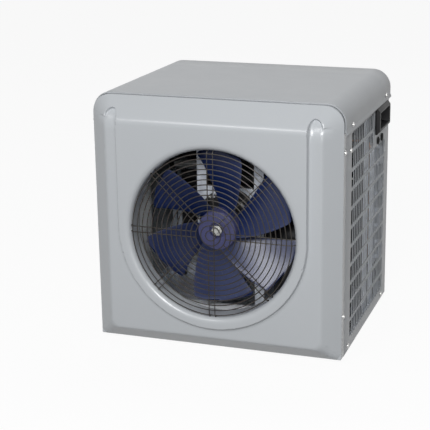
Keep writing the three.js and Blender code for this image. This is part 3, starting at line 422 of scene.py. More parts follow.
moulded, place = start_finish("moulded_grey_plastic")
clouds = noise(place, 9, 3)
grain = noise(place, 1500, 1)
shade = clouds.blend((0.470, 0.493, 0.516, 1), (0.492, 0.515, 0.538, 1))
end_finish(moulded, {
    "Base Color": shade, "Roughness": 0.21 + 0.06 * noise(place, 60),
    "Normal": bump(grain, 0.06, 0.0002)})


def wrapped_back(vertices, faces, loop, depths):
    """Carries a loop of the face back to each depth behind the rim, and closes the wall."""
    x = [vertices[i][0] for i in loop]
    z = [vertices[i][2] for i in loop]
    for depth in depths:
        behind = list(range(len(vertices), len(vertices) + len(loop)))
        vertices += [(x[i], rim_y + depth, z[i]) for i in range(len(loop))]
        faces += [(loop[i], loop[i - 1], behind[i - 1], behind[i]) for i in range(len(loop))]
        loop = behind


def mould_front_panel():
    """The face is filled between its loops, then its rim and its mouth are carried back."""
    points, rim_count, throat_count = panel_points()
    fixed = rim_count + throat_count
    points = thin_out(points, fixed, 0.6 * mm)
    points = [(x, z) for i, (x, z) in enumerate(points) if i < fixed or (
        math.hypot(x, z - fan_z) > throat_radius + 0.1 * mm and margin(x, z, 0) > 0.8 * mm)]
    edges = [(i, (i + 1) % rim_count) for i in range(rim_count)]
    edges += [(rim_count + i, rim_count + (i + 1) % throat_count) for i in range(throat_count)]
    flat, _, triangles, *_ = delaunay_2d_cdt([Vector(p) for p in points], edges, [], 0, 1e-7)
    x = np.array([p.x for p in flat])
    z = np.array([p.y for p in flat])
    y = rim_y - panel_rise(x, z)
    vertices = list(zip(x, y, z))
    faces = []
    for triangle in triangles:
        middle_x, middle_z = x[triangle].mean(), z[triangle].mean()
        radius = math.hypot(middle_x, middle_z - fan_z)
        if radius > throat_radius * 0.9995 and margin(middle_x, middle_z, 0) > 0:
            faces.append(triangle)
    rim_loop = list(range(rim_count))
    throat_loop = list(range(rim_count, fixed))
    wrapped_back(vertices, faces, rim_loop, (0.9 * mm, 5 * mm, skirt_y - rim_y))
    wrapped_back(vertices, faces, throat_loop, (-10 * mm, -2 * mm, 6 * mm, 8 * mm))
    panel = piece("front_panel_moulding", vertices, faces, moulded, 40)
    wall = panel.modifiers.new("wall", "SOLIDIFY")
    wall.thickness = moulding_wall
    wall.offset = -1
    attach(panel, "cabinet")
    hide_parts("front_panel")


mould_front_panel()


# ---------------------------------------------------------------- top cover
# One sheet of painted steel, bent over the cabinet with a short flange down each side. Its
# front and rear edges are hemmed. The front one stands a little proud of the panel, which
# leaves a dark gap there, and the rear one closes down on the rear panel.

powder_coat, place = start_finish("grey_powder_coat")
drift = noise(place, 5, 2)
peel = noise(place, 900, 2)
end_finish(powder_coat, {
    "Base Color": drift.blend((0.388, 0.407, 0.428, 1), (0.412, 0.431, 0.452, 1)),
    "Roughness": 0.34 + 0.08 * noise(place, 40), "Normal": bump(peel, 0.08, 0.0002)})

cover_low, cover_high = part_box("top_cover")
cover_round = 27.2 * mm
bend_steps = 18
jog = 1.4 * mm          # the lip of each flange stands out this far
jog_low = 2.2 * mm
jog_high = 4.4 * mm


def bent_over(inset):
    """The cover's section from one flange to the other, drawn that far inside its outside."""
    half = cover_high.x - inset
    top = cover_high.z - inset
    radius = cover_round - inset
    section = [(half + jog, cover_low.z), (half + jog, cover_low.z + jog_low),
               (half, cover_low.z + jog_high), (half, (cover_low.z + top - radius) / 2)]
    for i in range(bend_steps + 1):
        angle = math.pi / 2 * i / bend_steps
        section.append((half - radius + radius * math.cos(angle),
                        top - radius + radius * math.sin(angle)))
    return section + [(0.0, top)] + [(-x, z) for x, z in reversed(section)]


def strip(rows, closed=False, loop=False):
    """Faces between rows of points. A closed row ends where it starts; a loop of rows too."""
    count = len(rows[0])
    vertices = [point for row in rows for point in row]
    faces = []
    for i in range(len(rows) if loop else len(rows) - 1):
        for j in range(count if closed else count - 1):
            k, n = (j + 1) % count, (i + 1) % len(rows)
            faces.append((i * count + j, i * count + k, n * count + k, n * count + j))
    return vertices, faces


# Each point of the profile is its depth inside the sheet's outside and its distance behind the
# edge that it belongs to, in millimetres.
cover_outside = [(0, 3.0), (0, 60), (0, 144), (0, 230)]
rear_hem = [(0, -0.8), (0.35, -0.2), (0.8, 0), (1.5, -0.1), (1.9, -0.6), (1.9, -9.5), (1.6, -10),
            (1.3, -10.2)]
front_hem = [(1.3, 6), (1.8, 5.6), (2.1, 5), (2.1, 0.8), (1.95, 0.2), (1.7, 0), (1.2, 0.3),
             (0.75, 0.75), (0.4, 1.3), (0.12, 2.1)]
cover_rows = []
for edge_y, profile in ((cover_low.y, cover_outside), (cover_high.y, rear_hem),
                        (cover_low.y, front_hem)):
    for inset, along in profile:
        cover_rows.append([(x, edge_y + along * mm, z) for x, z in bent_over(inset * mm)])
vertices, faces = strip(cover_rows, loop=True)
count = len(cover_rows[0])
for end in (0, count - 1):
    faces.append([row * count + end for row in range(len(cover_rows))])
top_cover = piece("top_cover_sheet", vertices, faces, powder_coat, 50)
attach(top_cover, "cabinet")
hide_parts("top_cover")


# ---------------------------------------------------------------- side and rear panels
# Painted steel sheets. The right and rear ones are pierced with rows of slots, and thin upright
# bars cross the rows to keep fingers out. The left one is plain.

sheet = 1.5 * mm
slot_pitch = 27.2 * mm
slot_height = 22 * mm
slot_rows = 11
slot_foot = panel_low.z + 17 * mm


def pierced(across, heights, is_open, to_place):
    """A sheet with rectangular openings, from the lines that bound them each way."""
    vertices = [to_place(a, z) for z in heights for a in across]
    width = len(across)
    faces = []
    for row in range(len(heights) - 1):
        for column in range(width - 1):
            middle = ((across[column] + across[column + 1]) / 2,
                      (heights[row] + heights[row + 1]) / 2)
            if not is_open(*middle):
                corner = row * width + column
                faces.append((corner, corner + 1, corner + width + 1, corner + width))
    used = sorted({index for face in faces for index in face})
    place_of = {index: i for i, index in enumerate(used)}
    return [vertices[i] for i in used], [[place_of[i] for i in face] for face in faces]


def thickened(name, vertices, faces, finish, thickness, edge=0.3 * mm):
    """A surface given the thickness of its sheet, with its sharp edges a little rounded."""
    made = piece(name, vertices, faces, finish, 30)
    wall = made.modifiers.new("sheet", "SOLIDIFY")
    wall.thickness = thickness
    wall.offset = -1
    rounding = made.modifiers.new("edges", "BEVEL")
    rounding.width = edge
    rounding.segments = 2
    rounding.limit_method = "ANGLE"
    rounding.angle_limit = math.radians(50)
    return made


side_low, side_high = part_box("right_side_panel")
grille_front = rim_y + 47 * mm
grille_back = rim_y + 263 * mm
grille_short = rim_y + 187 * mm
slot_lines = [slot_foot + row * slot_pitch + up
              for row in range(slot_rows) for up in (0, slot_height)]
gland_y = (rim_y + 213 * mm, rim_y + 239 * mm)
gland_z = panel_low.z + 264.5 * mm
gland_hole = 3.4 * mm
window_low, window_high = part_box("carry_handle_right")
window_edge = 5.7 * mm
tongue = 12 * mm        # the strip along the front edge that steps in behind the panel's rim
tongue_x = side_high.x - 2.8 * mm
tongue_foot = side_low.z + 20 * mm


def in_slot_row(z):
    row = (z - slot_foot) / slot_pitch
    return 0 <= row < slot_rows and (row % 1) * slot_pitch < slot_height


def right_is_open(y, z):
    if window_low.y + window_edge < y < window_high.y - window_edge:
        if window_low.z + window_edge < z < window_high.z - window_edge:
            return True
    for gland in gland_y:
        if abs(y - gland) < gland_hole and abs(z - gland_z) < gland_hole:
            return True
    last = grille_short if z > slot_foot + (slot_rows - 2) * slot_pitch else grille_back
    return in_slot_row(z) and grille_front < y < last


side_across = sorted({side_low.y + tongue, grille_front, grille_short, grille_back, side_high.y}
                     | {window_low.y + window_edge, window_high.y - window_edge}
                     | {gland + side for gland in gland_y for side in (-gland_hole, gland_hole)})
side_heights = sorted({side_low.z, side_high.z, gland_z - gland_hole, gland_z + gland_hole,
                       window_low.z + window_edge, window_high.z - window_edge} | set(slot_lines))
right_sheet = pierced(side_across, side_heights, right_is_open,
                      lambda y, z: (side_high.x, y, z))
first = len(right_sheet[0])
for x, y, foot in ((side_high.x, side_low.y + tongue, side_low.z),
                   (tongue_x, side_low.y + tongue, tongue_foot), (tongue_x, side_low.y, tongue_foot)):
    right_sheet[0].extend([(x, y, foot), (x, y, side_high.z)])
right_sheet[1].append([first + 2, first + 3, first + 5, first + 4])
right_panel = thickened("right_grille_panel", *right_sheet, powder_coat, sheet)
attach(right_panel, "cabinet")
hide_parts("right_side_panel")


def tube(points, radius, sides=10, closed=False):
    """A round rod along a line of points."""
    points = [Vector(p) for p in points]
    count = len(points)
    rows = []
    normal = None
    for i, point in enumerate(points):
        ahead = points[(i + 1) % count] if closed or i < count - 1 else point
        behind = points[i - 1] if closed or i > 0 else point
        along = (ahead - behind).normalized()
        if normal is None:
            normal = along.orthogonal().normalized()
        normal = (normal - along * normal.dot(along)).normalized()
        other = along.cross(normal)
        rows.append([point + (normal * math.cos(a) + other * math.sin(a)) * radius
                     for a in (2 * math.pi * j / sides for j in range(sides))])
    vertices, faces = strip(rows, closed=True, loop=closed)
    if not closed:
        faces.append(list(range(sides)))
        faces.append(list(range((count - 1) * sides, count * sides)))
    return vertices, faces


def together(parts):
    """Several meshes as one."""
    vertices, faces = [], []
    for some_vertices, some_faces in parts:
        start_at = len(vertices)
        vertices += list(some_vertices)
        faces += [[index + start_at for index in face] for face in some_faces]
    return vertices, faces


def bar(low, high, soft):
    """An upright bar with rounded corners, from its lowest to its highest corner."""
    rows = []
    for z, inset in ((low[2], soft), (low[2] + soft, 0), (high[2] - soft, 0), (high[2], soft)):
        x0, y0 = low[0] + inset, low[1] + inset
        x1, y1 = high[0] - inset, high[1] - inset
        rows.append([(x0 + soft, y0, z), (x1 - soft, y0, z), (x1, y0 + soft, z), (x1, y1 - soft, z),
                     (x1 - soft, y1, z), (x0 + soft, y1, z), (x0, y1 - soft, z), (x0, y0 + soft, z)])
    vertices, faces = strip(rows, closed=True)
    faces.append(list(range(8)))
    faces.append(list(range(24, 32)))
    return vertices, faces


bar_gaps = 21
bar_width = 1.5 * mm
bar_round = 0.5 * mm
bar_inside = 0.5 * mm
bar_overlap = 2 * mm
bar_parts = []
for i in range(1, bar_gaps):
    y = grille_front + (grille_back - grille_front) * i / bar_gaps
    rows = slot_rows if y < grille_short else slot_rows - 2
    top = slot_foot + (rows - 1) * slot_pitch + slot_height
    bar_parts.append(bar(
        (side_high.x - bar_inside, y - bar_width / 2, slot_foot - bar_overlap),
        (side_high.x + 0.7 * mm, y + bar_width / 2, top + bar_overlap), bar_round))
side_bars = piece("right_grille_bars", *together(bar_parts), powder_coat)
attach(side_bars, "cabinet")

# The rear panel has its slots in two columns, with the water ports below them.
rear_low, rear_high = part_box("rear_panel")
rear_columns = ((-150 * mm, -4 * mm), (4 * mm, 150 * mm))
port_z = panel_low.z + 30 * mm
port_collar = 22 * mm
port_hole = 19.3 * mm
port_x = (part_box("water_inlet_port")[0].x + port_collar,
          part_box("water_outlet_port")[0].x + port_collar)
first_rear_row = 2


def rear_outline(inset):
    half = rear_high.x - inset
    loop = [(-half, rear_low.z + inset), (half, rear_low.z + inset)]
    for middle, begin in ((1, 0), (-1, 90)):
        for i in range(13):
            angle = math.radians(begin + 90 * i / 12)
            loop.append((middle * (half - top_round) + top_round * math.cos(angle),
                         rear_high.z - inset - top_round + top_round * math.sin(angle)))
    return loop


def mould_rear_panel():
    """The sheet's outline, slots and port holes, filled between them."""
    loops = [rear_outline(0)]
    for row in range(first_rear_row, slot_rows):
        low = slot_foot + row * slot_pitch
        high = low + slot_height
        for x0, x1 in rear_columns:
            loops.append([(x0, low), (x1, low), (x1, high), (x0, high)])
    for x in port_x:
        loops.append([(x + port_hole * math.cos(a), port_z + port_hole * math.sin(a))
                      for a in (2 * math.pi * i / 40 for i in range(40))])
    points = [point for loop in loops for point in loop]
    edges = []
    start_at = 0
    for loop in loops:
        edges += [(start_at + i, start_at + (i + 1) % len(loop)) for i in range(len(loop))]
        start_at += len(loop)
    flat, _, triangles, *_ = delaunay_2d_cdt([Vector(p) for p in points], edges, [], 0, 1e-7)
    faces = []
    for triangle in triangles:
        x = sum(flat[i].x for i in triangle) / 3
        z = sum(flat[i].y for i in triangle) / 3
        in_slots = in_slot_row(z) and z > slot_foot + first_rear_row * slot_pitch - 1 * mm
        in_slots = in_slots and any(x0 < x < x1 for x0, x1 in rear_columns)
        in_port = any(math.hypot(x - port, z - port_z) < port_hole for port in port_x)
        corner = max(abs(x) - rear_high.x + top_round, 0), max(z - rear_high.z + top_round, 0)
        if not in_slots and not in_port and math.hypot(*corner) < top_round:
            faces.append(list(triangle))
    return [(p.x, rear_high.y, p.y) for p in flat], faces


rear_panel = thickened("rear_grille_panel", *mould_rear_panel(), powder_coat, sheet)
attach(rear_panel, "cabinet")
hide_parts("rear_panel")

rear_gaps = 14
bar_parts = []
for x0, x1 in rear_columns:
    for i in range(1, rear_gaps):
        x = x0 + (x1 - x0) * i / rear_gaps
        bar_parts.append(bar(
            (x - bar_width / 2, rear_high.y - bar_inside,
             slot_foot + first_rear_row * slot_pitch - bar_overlap),
            (x + bar_width / 2, rear_high.y + 0.9 * mm,
             slot_foot + (slot_rows - 1) * slot_pitch + slot_height + bar_overlap), bar_round))
rear_bars = piece("rear_grille_bars", *together(bar_parts), powder_coat)
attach(rear_bars, "cabinet")


def dress(node, finish):
    """Gives a CAD node that keeps its own shape a finish."""
    mesh = nodes[node].data
    mesh.materials.clear()
    mesh.materials.append(finish)


dress("left_side_panel", powder_coat)


# ---------------------------------------------------------------- carry handles
# A black moulded cup is set into each side. Its rim stands out of the sheet, sloped along the
# top and bottom, and the fingers go in and up behind the upper edge.

grained_black, place = start_finish("grained_black_plastic")
pores = noise(place, 1100, 2)
dusting = noise(place, 30, 3)
end_finish(grained_black, {
    "Base Color": dusting.blend((0.004, 0.004, 0.005, 1), (0.010, 0.010, 0.011, 1)),
    "Roughness": 0.42 + 0.16 * dusting, "Specular IOR Level": 0.25,
    "Normal": bump(pores, 0.25, 0.0002)})


def rounded_loop(half_across, half_up, radius):
    """A rectangle with rounded corners about the origin."""
    steps = 6
    loop = []
    for side, top, begin in ((1, -1, -90), (1, 1, 0), (-1, 1, 90), (-1, -1, 180)):
        for i in range(steps + 1):
            angle = math.radians(begin + 90 * i / steps)
            loop.append((side * (half_across - radius) + radius * math.cos(angle),
                         top * (half_up - radius) + radius * math.sin(angle)))
    return loop


def mould_handle(name, side, node):
    """The cup in rows from its back, over its rim, to its floor. The insets are in millimetres."""
    low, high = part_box(node)
    middle_y = (low.y + high.y) / 2
    middle_z = (low.z + high.z) / 2
    half_y = (high.y - low.y) / 2
    half_z = (high.z - low.z) / 2
    sheet_x = panel_half + 0.3 * mm
    proud_x = max(abs(low.x), abs(high.x))
    floor_x = min(abs(low.x), abs(high.x))
    rows = []
    for x, in_y, in_z, radius in (
            (floor_x, 6.2, 6.2, 3.0), (sheet_x, 6.0, 6.0, 3.0), (sheet_x, 0.4, 0.4, 3.0),
            (sheet_x + 0.8 * mm, 0.0, 0.0, 3.0), (proud_x - 4.2 * mm, 0.0, 0.4, 3.0),
            (proud_x - 3.4 * mm, 0.4, 1.2, 3.0), (proud_x - 0.5 * mm, 1.2, 4.6, 2.4),
            (proud_x, 2.2, 5.6, 2.0), (proud_x, 6.6, 6.8, 2.2),
            (proud_x - 0.6 * mm, 7.6, 7.8, 2.2), (proud_x - 5 * mm, 8.0, 8.2, 2.2),
            (floor_x + 2.6 * mm, 9.5, 9.0, 2.6), (floor_x + 2.1 * mm, 11.0, 10.5, 2.6)):
        rows.append([(side * x, middle_y + a, middle_z + b)
                     for a, b in rounded_loop(half_y - in_y * mm, half_z - in_z * mm, radius * mm)])
    vertices, faces = strip(rows, closed=True)
    count = len(rows[0])
    faces.append(list(range(count)))
    faces.append(list(range(len(vertices) - count, len(vertices))))
    handle = piece(name, vertices, faces, grained_black, 30)
    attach(handle, "cabinet")
    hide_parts(node)


mould_handle("right_handle_cup", 1, "carry_handle_right")
mould_handle("left_handle_cup", -1, "carry_handle_left")


# ---------------------------------------------------------------- cable glands and feet
# Two black rubber grommets line the cable holes under the right handle, and four rubber pads
# carry the cabinet.

matt_rubber, place = start_finish("matt_black_rubber")
chalk = noise(place, 70, 4)
end_finish(matt_rubber, {
    "Base Color": chalk.blend((0.006, 0.006, 0.006, 1), (0.014, 0.014, 0.014, 1)),
    "Specular IOR Level": 0.25, "Roughness": 0.72 + 0.16 * chalk,
    "Normal": bump(noise(place, 600, 3), 0.2, 0.0003)})


def turned(profile, axis, centre, steps=48, begin=0.0):
    """A profile of (radius, place) points, turned about an axis through the centre."""
    rows = []
    for radius, along in profile:
        row = []
        for i in range(steps):
            angle = begin + 2 * math.pi * i / steps
            a, b = radius * math.cos(angle), radius * math.sin(angle)
            spot = {"x": (along, a, b), "y": (b, along, a), "z": (a, b, along)}[axis]
            row.append(tuple(c + s for c, s in zip(centre, spot)))
        rows.append(row)
    vertices, faces = strip(rows, closed=True)
    for row, radius in ((0, profile[0][0]), (len(profile) - 1, profile[-1][0])):
        if radius > 0:
            faces.append(list(range(row * steps, (row + 1) * steps)))
    return vertices, faces


def turned_ring(profile, axis, centre, steps=48):
    """A closed profile turned about an axis, for a piece with a hole through it."""
    vertices, faces = turned(profile + profile[:1], axis, centre, steps)
    return vertices, faces[:-2]


for number, gland in enumerate(gland_y, 1):
    inner, outer = side_high.x - 9.5 * mm, side_high.x
    grommet = piece(f"cable_grommet_{number}", *turned_ring([
        (3.1 * mm, inner), (4.9 * mm, inner), (4.9 * mm, outer + 0.3 * mm), (5.7 * mm, outer + 0.3 * mm),
        (5.9 * mm, outer + 0.8 * mm), (5.7 * mm, outer + 1.3 * mm), (5.0 * mm, outer + 1.8 * mm),
        (4.4 * mm, outer + 2.0 * mm), (3.6 * mm, outer + 1.9 * mm), (3.1 * mm, outer + 1.4 * mm)],
        "x", (0, gland, gland_z), 32), matt_rubber)
    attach(grommet, "cabinet")
    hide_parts(f"cable_gland_{number}")

for end in ("left_front", "left_rear", "right_front", "right_rear"):
    low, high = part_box(f"rubber_foot_{end}")
    radius, height = (high.x - low.x) / 2, high.z
    pad = piece(f"foot_pad_{end}", *turned([
        (0, 0.6 * mm), (5 * mm, 0.6 * mm), (6 * mm, 0), (radius - 1.6 * mm, 0),
        (radius - 0.5 * mm, 0.4 * mm), (radius, 1.6 * mm), (radius - 0.6 * mm, height - 0.6 * mm),
        (radius - 1.2 * mm, height), (0, height)],
        "z", ((low.x + high.x) / 2, (low.y + high.y) / 2, 0)), matt_rubber)
    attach(pad, "cabinet")
    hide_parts(f"rubber_foot_{end}")


# ---------------------------------------------------------------- screws
# Bright zinc pan-head screws with a cross recess hold the cover, the front panel, the side and
# the tray together. They go in from the sides and from the rear.

bright_zinc, place = start_finish("bright_zinc_plate")
brushing = noise(place, 800, 2)
end_finish(bright_zinc, {
    "Base Color": brushing.blend((0.40, 0.40, 0.40, 1), (0.58, 0.58, 0.56, 1)), "Metallic": 1.0,
    "Roughness": 0.24 + 0.14 * brushing, "Normal": bump(brushing, 0.1, 0.0001)})


def cross_head(radius, height, recess):
    """A domed head with a cross-shaped recess; +Z is out of the surface, at the origin."""
    arm, width = recess, recess * 0.30
    star = []
    for quarter in range(4):
        turn = math.pi / 2 * quarter
        for a, b in ((arm, -width), (arm, width), (width, width)):
            star.append((a * math.cos(turn) - b * math.sin(turn),
                         a * math.sin(turn) + b * math.cos(turn)))
    outer = [math.atan2(b, a) for a, b in star]
    dome = (radius * 0.86, height * 0.82), (radius * 0.6, height * 0.96)
    rows = [[(radius * math.cos(t), radius * math.sin(t), 0) for t in outer],
            [(radius * math.cos(t), radius * math.sin(t), height * 0.45) for t in outer]]
    rows += [[(r * math.cos(t), r * math.sin(t), z) for t in outer] for r, z in dome]
    rows.append([(a, b, height) for a, b in star])
    rows.append([(a * 0.6, b * 0.6, height * 0.25) for a, b in star])
    vertices, faces = strip(rows, closed=True)
    faces.append(list(range(len(star))))
    faces.append(list(range(len(vertices) - len(star), len(vertices))))
    return vertices, faces


def set_screw(name, spot, out, node=None, radius=2.9 * mm, height=2.2 * mm):
    turn = Vector(out).to_track_quat("Z", "Y").to_matrix().to_4x4()
    turn = turn @ Matrix.Rotation(math.radians(sum(ord(letter) for letter in name) % 90), 4, "Z")
    vertices, faces = cross_head(radius, height, radius * 0.55)
    washer = turned([(0, -0.2 * mm), (radius * 1.25, -0.2 * mm), (radius * 1.25, 0.25 * mm),
                     (radius * 1.1, 0.45 * mm), (0, 0.45 * mm)], "z", (0, 0, 0), 24)
    vertices, faces = together([(vertices, faces), washer])
    move = Matrix.Translation(spot) @ turn
    screw = piece(name, [move @ Vector(v) for v in vertices], faces, bright_zinc, 40)
    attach(screw, "cabinet")
    if node:
        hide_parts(node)


for side, sign in (("left", -1), ("right", 1)):
    for node in (f"cover_screw_{side}_front", f"cover_screw_{side}_rear",
                 f"panel_screw_{side}_lower", f"panel_screw_{side}_upper"):
        low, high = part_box(node)
        face = cover_high.x if node.startswith("cover") else panel_half
        set_screw(f"{node}_head", (sign * face, (low.y + high.y) / 2, (low.z + high.z) / 2),
                  (sign, 0, 0), node)
    for label, y, z in (("side_upper", 40, 289), ("tray_front", 38, 7), ("tray_rear", 258, 7)):
        set_screw(f"{label}_screw_{side}", (sign * panel_half, rim_y + y * mm, panel_low.z + z * mm),
                  (sign, 0, 0), radius=3.2 * mm, height=2.0 * mm)
for x in (-168, 168):
    for z in (12, 120, 230, 335):
        set_screw(f"rear_screw_{z}_{'left' if x < 0 else 'right'}",
                  (x * mm, rear_high.y, panel_low.z + z * mm), (0, 1, 0),
                  radius=3.2 * mm, height=2.0 * mm)


# ---------------------------------------------------------------- fan guard
# Sixteen rings of round wire are welded to eight pairs of straight wires. The ends of the
# straight wires bend back and dip into the bell mouth. All of it has a dark bronze coat.

wire_coat, place = start_finish("dark_wire_coat")
rub = noise(place, 120, 3)
end_finish(wire_coat, {
    "Base Color": rub.blend((0.012, 0.010, 0.008, 1), (0.036, 0.029, 0.022, 1)), "Metallic": 0.25,
    "Roughness": 0.34 + 0.16 * rub})

wire = 0.75 * mm
ring_count = 16
ring_pitch = 7.22 * mm
ring_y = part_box("fan_guard")[0].y + wire
arm_count = 8
upright_arm = 2
arm_y = ring_y + 1.5 * wire
arm_spread = 4.2 * mm
first_ring_held = 3
arm_overhang = 1.5 * mm
guard_parts = []
for number in range(1, ring_count + 1):
    radius = ring_pitch * number
    count = 20 + 7 * number
    guard_parts.append(tube([(radius * math.cos(a), ring_y, fan_z + radius * math.sin(a))
                             for a in (2 * math.pi * i / count for i in range(count))],
                            wire, 8, closed=True))
for arm in range(arm_count):
    angle = math.radians(360 / arm_count * arm)
    for side in (1, -1):
        first = first_ring_held * ring_pitch - arm_overhang
        if arm == upright_arm and side < 0:
            # This wire runs on past the centre and carries the two inner rings.
            first = -first_ring_held * ring_pitch - arm_overhang
        line = [(first, 0), (throat_radius - 6 * mm, 0), (throat_radius - 2.2 * mm, 0.5 * mm),
                (throat_radius - 0.2 * mm, 2.2 * mm), (throat_radius + 0.3 * mm, 5.5 * mm)]
        guard_parts.append(tube(
            [(r * math.cos(angle) - side * arm_spread * math.sin(angle), arm_y + back,
              fan_z + r * math.sin(angle) + side * arm_spread * math.cos(angle))
             for r, back in line], wire, 8))
guard = piece("guard_wires", *together(guard_parts), wire_coat)
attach(guard, "cabinet")
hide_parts("fan_guard")


# ---------------------------------------------------------------- fan, nut and shaft
# Six wide, swept blades of deep blue plastic stand round a cupped hub of frosted blue plastic. A
# bright nut holds the hub on the end of the shaft, which turns with the motor's core.

blue_plastic, place = start_finish("deep_blue_plastic")
flow = noise(place, 26, 4)
specks = noise(place, 420, 2).between(0.62, 0.74)
blue = flow.blend((0.003, 0.010, 0.060, 1), (0.007, 0.022, 0.105, 1))
end_finish(blue_plastic, {
    "Base Color": (specks * 0.25).blend(blue, (0.16, 0.17, 0.24, 1)),
    "Roughness": 0.28 + 0.12 * flow, "Coat Weight": 0.10, "Coat Roughness": 0.28,
    "Normal": bump(noise(place, 160, 2), 0.06, 0.0004)})

blade_count = 6
hub_front = rim_y + 1 * mm
fan_radius = 110 * mm
tip_round = 5 * mm
hub_radius = 28 * mm
blade_radius = np.array([26.0, 50, 80, 110]) * mm
blade_lead = np.polyfit(blade_radius, [-20, -6, 4, 11], 3)
blade_trail = np.polyfit(blade_radius, [40, 45, 49, 53], 3)
blade_front = np.polyfit(blade_radius, [3, 3, 3, 4.5], 3)
blade_back = np.polyfit(blade_radius, [27, 32, 35, 37], 3)


def fan_blade(turn):
    """One blade, in sections from its root to its rounded tip."""
    spans = 18
    chords = 16
    rows = []
    for i in range(spans + 1):
        radius = blade_radius[0] + (fan_radius - blade_radius[0]) * (1 - (1 - i / spans) ** 1.4)
        near_tip = max(0.0, (radius - fan_radius + tip_round) / tip_round)
        tuck = 3.0 * (1 - math.sqrt(max(0.0, 1 - near_tip ** 2)))
        lead = np.polyval(blade_lead, radius) + tuck
        trail = np.polyval(blade_trail, radius) - tuck
        front = np.polyval(blade_front, radius) * mm
        back = np.polyval(blade_back, radius) * mm
        face, rear = [], []
        for j in range(chords + 1):
            share = 0.5 - 0.5 * math.cos(math.pi * j / chords)
            angle = math.radians(turn + lead + (trail - lead) * share)
            depth = rim_y + front + (back - front) * (share + 0.35 * share * (1 - share))
            half = 1.25 * mm * math.sqrt(max(0.0, 1 - (2 * share - 1) ** 6)) * (1 - 0.35 * i / spans)
            spot = (radius * math.cos(angle), fan_z + radius * math.sin(angle))
            face.append((spot[0], depth - half, spot[1]))
            rear.append((spot[0], depth + half, spot[1]))
        rows.append(face + rear[-2:0:-1])
    vertices, faces = strip(rows, closed=True)
    count = len(rows[0])
    faces.append(list(range(count)))
    faces.append(list(range(len(vertices) - count, len(vertices))))
    return vertices, faces


frosted_blue, place = start_finish("frosted_blue_plastic")
frost = noise(place, 520, 3)
end_finish(frosted_blue, {
    "Base Color": frost.blend((0.030, 0.034, 0.120, 1), (0.085, 0.090, 0.200, 1)),
    "Roughness": 0.50 + 0.2 * frost, "Normal": bump(frost, 0.2, 0.0002)})
hub_back = hub_front + 29 * mm
nut_floor = hub_front + 5 * mm
hub_cup = turned_ring([
    (4.3 * mm, nut_floor), (10.6 * mm, nut_floor), (11 * mm, nut_floor - 0.4 * mm),
    (11 * mm, hub_front + 0.5 * mm), (11.5 * mm, hub_front),
    (hub_radius - 2.2 * mm, hub_front), (hub_radius - 0.7 * mm, hub_front + 0.5 * mm),
    (hub_radius, hub_front + 2.0 * mm), (hub_radius, hub_back - 0.6 * mm),
    (hub_radius - 0.6 * mm, hub_back), (hub_radius - 2.4 * mm, hub_back),
    (hub_radius - 2.8 * mm, hub_front + 5 * mm), (hub_radius - 4 * mm, hub_front + 4 * mm),
    (13.8 * mm, hub_front + 4 * mm), (13.8 * mm, nut_floor + 2.8 * mm),
    (9 * mm, nut_floor + 2.8 * mm), (9 * mm, hub_back - 6 * mm), (4.3 * mm, hub_back - 6 * mm)],
    "y", (0, 0, fan_z), 96)
hub = piece("fan_hub_cup", *hub_cup, frosted_blue, 40)
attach(hub, "fan")
blades = [fan_blade(360 / blade_count * blade) for blade in range(blade_count)]
impeller = piece("fan_blades", *together(blades), blue_plastic, 40)
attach(impeller, "fan")
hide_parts("fan_impeller")

nut_low, nut_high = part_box("fan_nut")
nut_y, nut_end = nut_high.y, nut_low.y
nut_sides = 6
corner_cut = 0.09       # radians to each side of a corner
nut_rows = []
for radius, y in ((4.4, nut_y), (7.6, nut_y), (8.0, nut_y - 0.5 * mm), (8.0, nut_end + 1.2 * mm),
                  (7.3, nut_end + 0.4 * mm), (6.0, nut_end), (4.6, nut_end), (4.4, nut_end + 0.4 * mm)):
    nut_rows.append([(radius * mm * math.cos(a), y, fan_z + radius * mm * math.sin(a))
                     for a in (math.pi / 3 * (i // 2) + (corner_cut if i % 2 else -corner_cut)
                               for i in range(2 * nut_sides))])
nut = piece("fan_hub_nut", *strip(nut_rows, closed=True, loop=True), bright_zinc, 25)
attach(nut, "fan")
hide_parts("fan_nut")

shaft_low, shaft_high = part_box("motor_rotor")
core = 29 * mm
shaft_radius = 4 * mm
shaft_profile = [(0, shaft_low.y + 0.4 * mm), (2.6 * mm, shaft_low.y), (3.4 * mm, shaft_low.y),
                 (shaft_radius, shaft_low.y + 0.8 * mm), (shaft_radius, rim_y + 53 * mm),
                 (core - 1 * mm, rim_y + 53 * mm), (core, rim_y + 54 * mm),
                 (core, rim_y + 88 * mm), (core - 1 * mm, rim_y + 89 * mm),
                 (shaft_radius, rim_y + 89 * mm), (shaft_radius, shaft_high.y - 0.4 * mm),
                 (3.6 * mm, shaft_high.y), (0, shaft_high.y)]
shaft = piece("motor_shaft_and_core", *turned(shaft_profile, "y", (0, 0, fan_z), 40), bright_zinc)
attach(shaft, "fan")
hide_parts("motor_rotor")


# ---------------------------------------------------------------- tray, bracket and end plates
# Folded galvanised sheet: the tray under everything, the two uprights that carry the fan motor,
# and the plates at the ends of the evaporator. The zinc shows as pale, flat crystals.

galvanised, place = start_finish("galvanised_sheet")
crystals = place.node("TexVoronoi", None, {"Vector": place, "Scale": 190.0}, 1)
crystal = crystals.node("SeparateColor", None, {0: crystals})
stain = noise(place, 22, 3)
end_finish(galvanised, {
    "Base Color": (crystal * 0.6 + stain * 0.5).blend((0.66, 0.71, 0.80, 1), (0.86, 0.90, 0.97, 1)),
    "Metallic": 0.35, "Roughness": 0.30 + 0.22 * crystal, "Normal": bump(crystal, 0.05, 0.0002)})
for node in ("base_tray", "motor_bracket", "evaporator_end_plate_left", "evaporator_end_plate_right"):
    dress(node, galvanised)

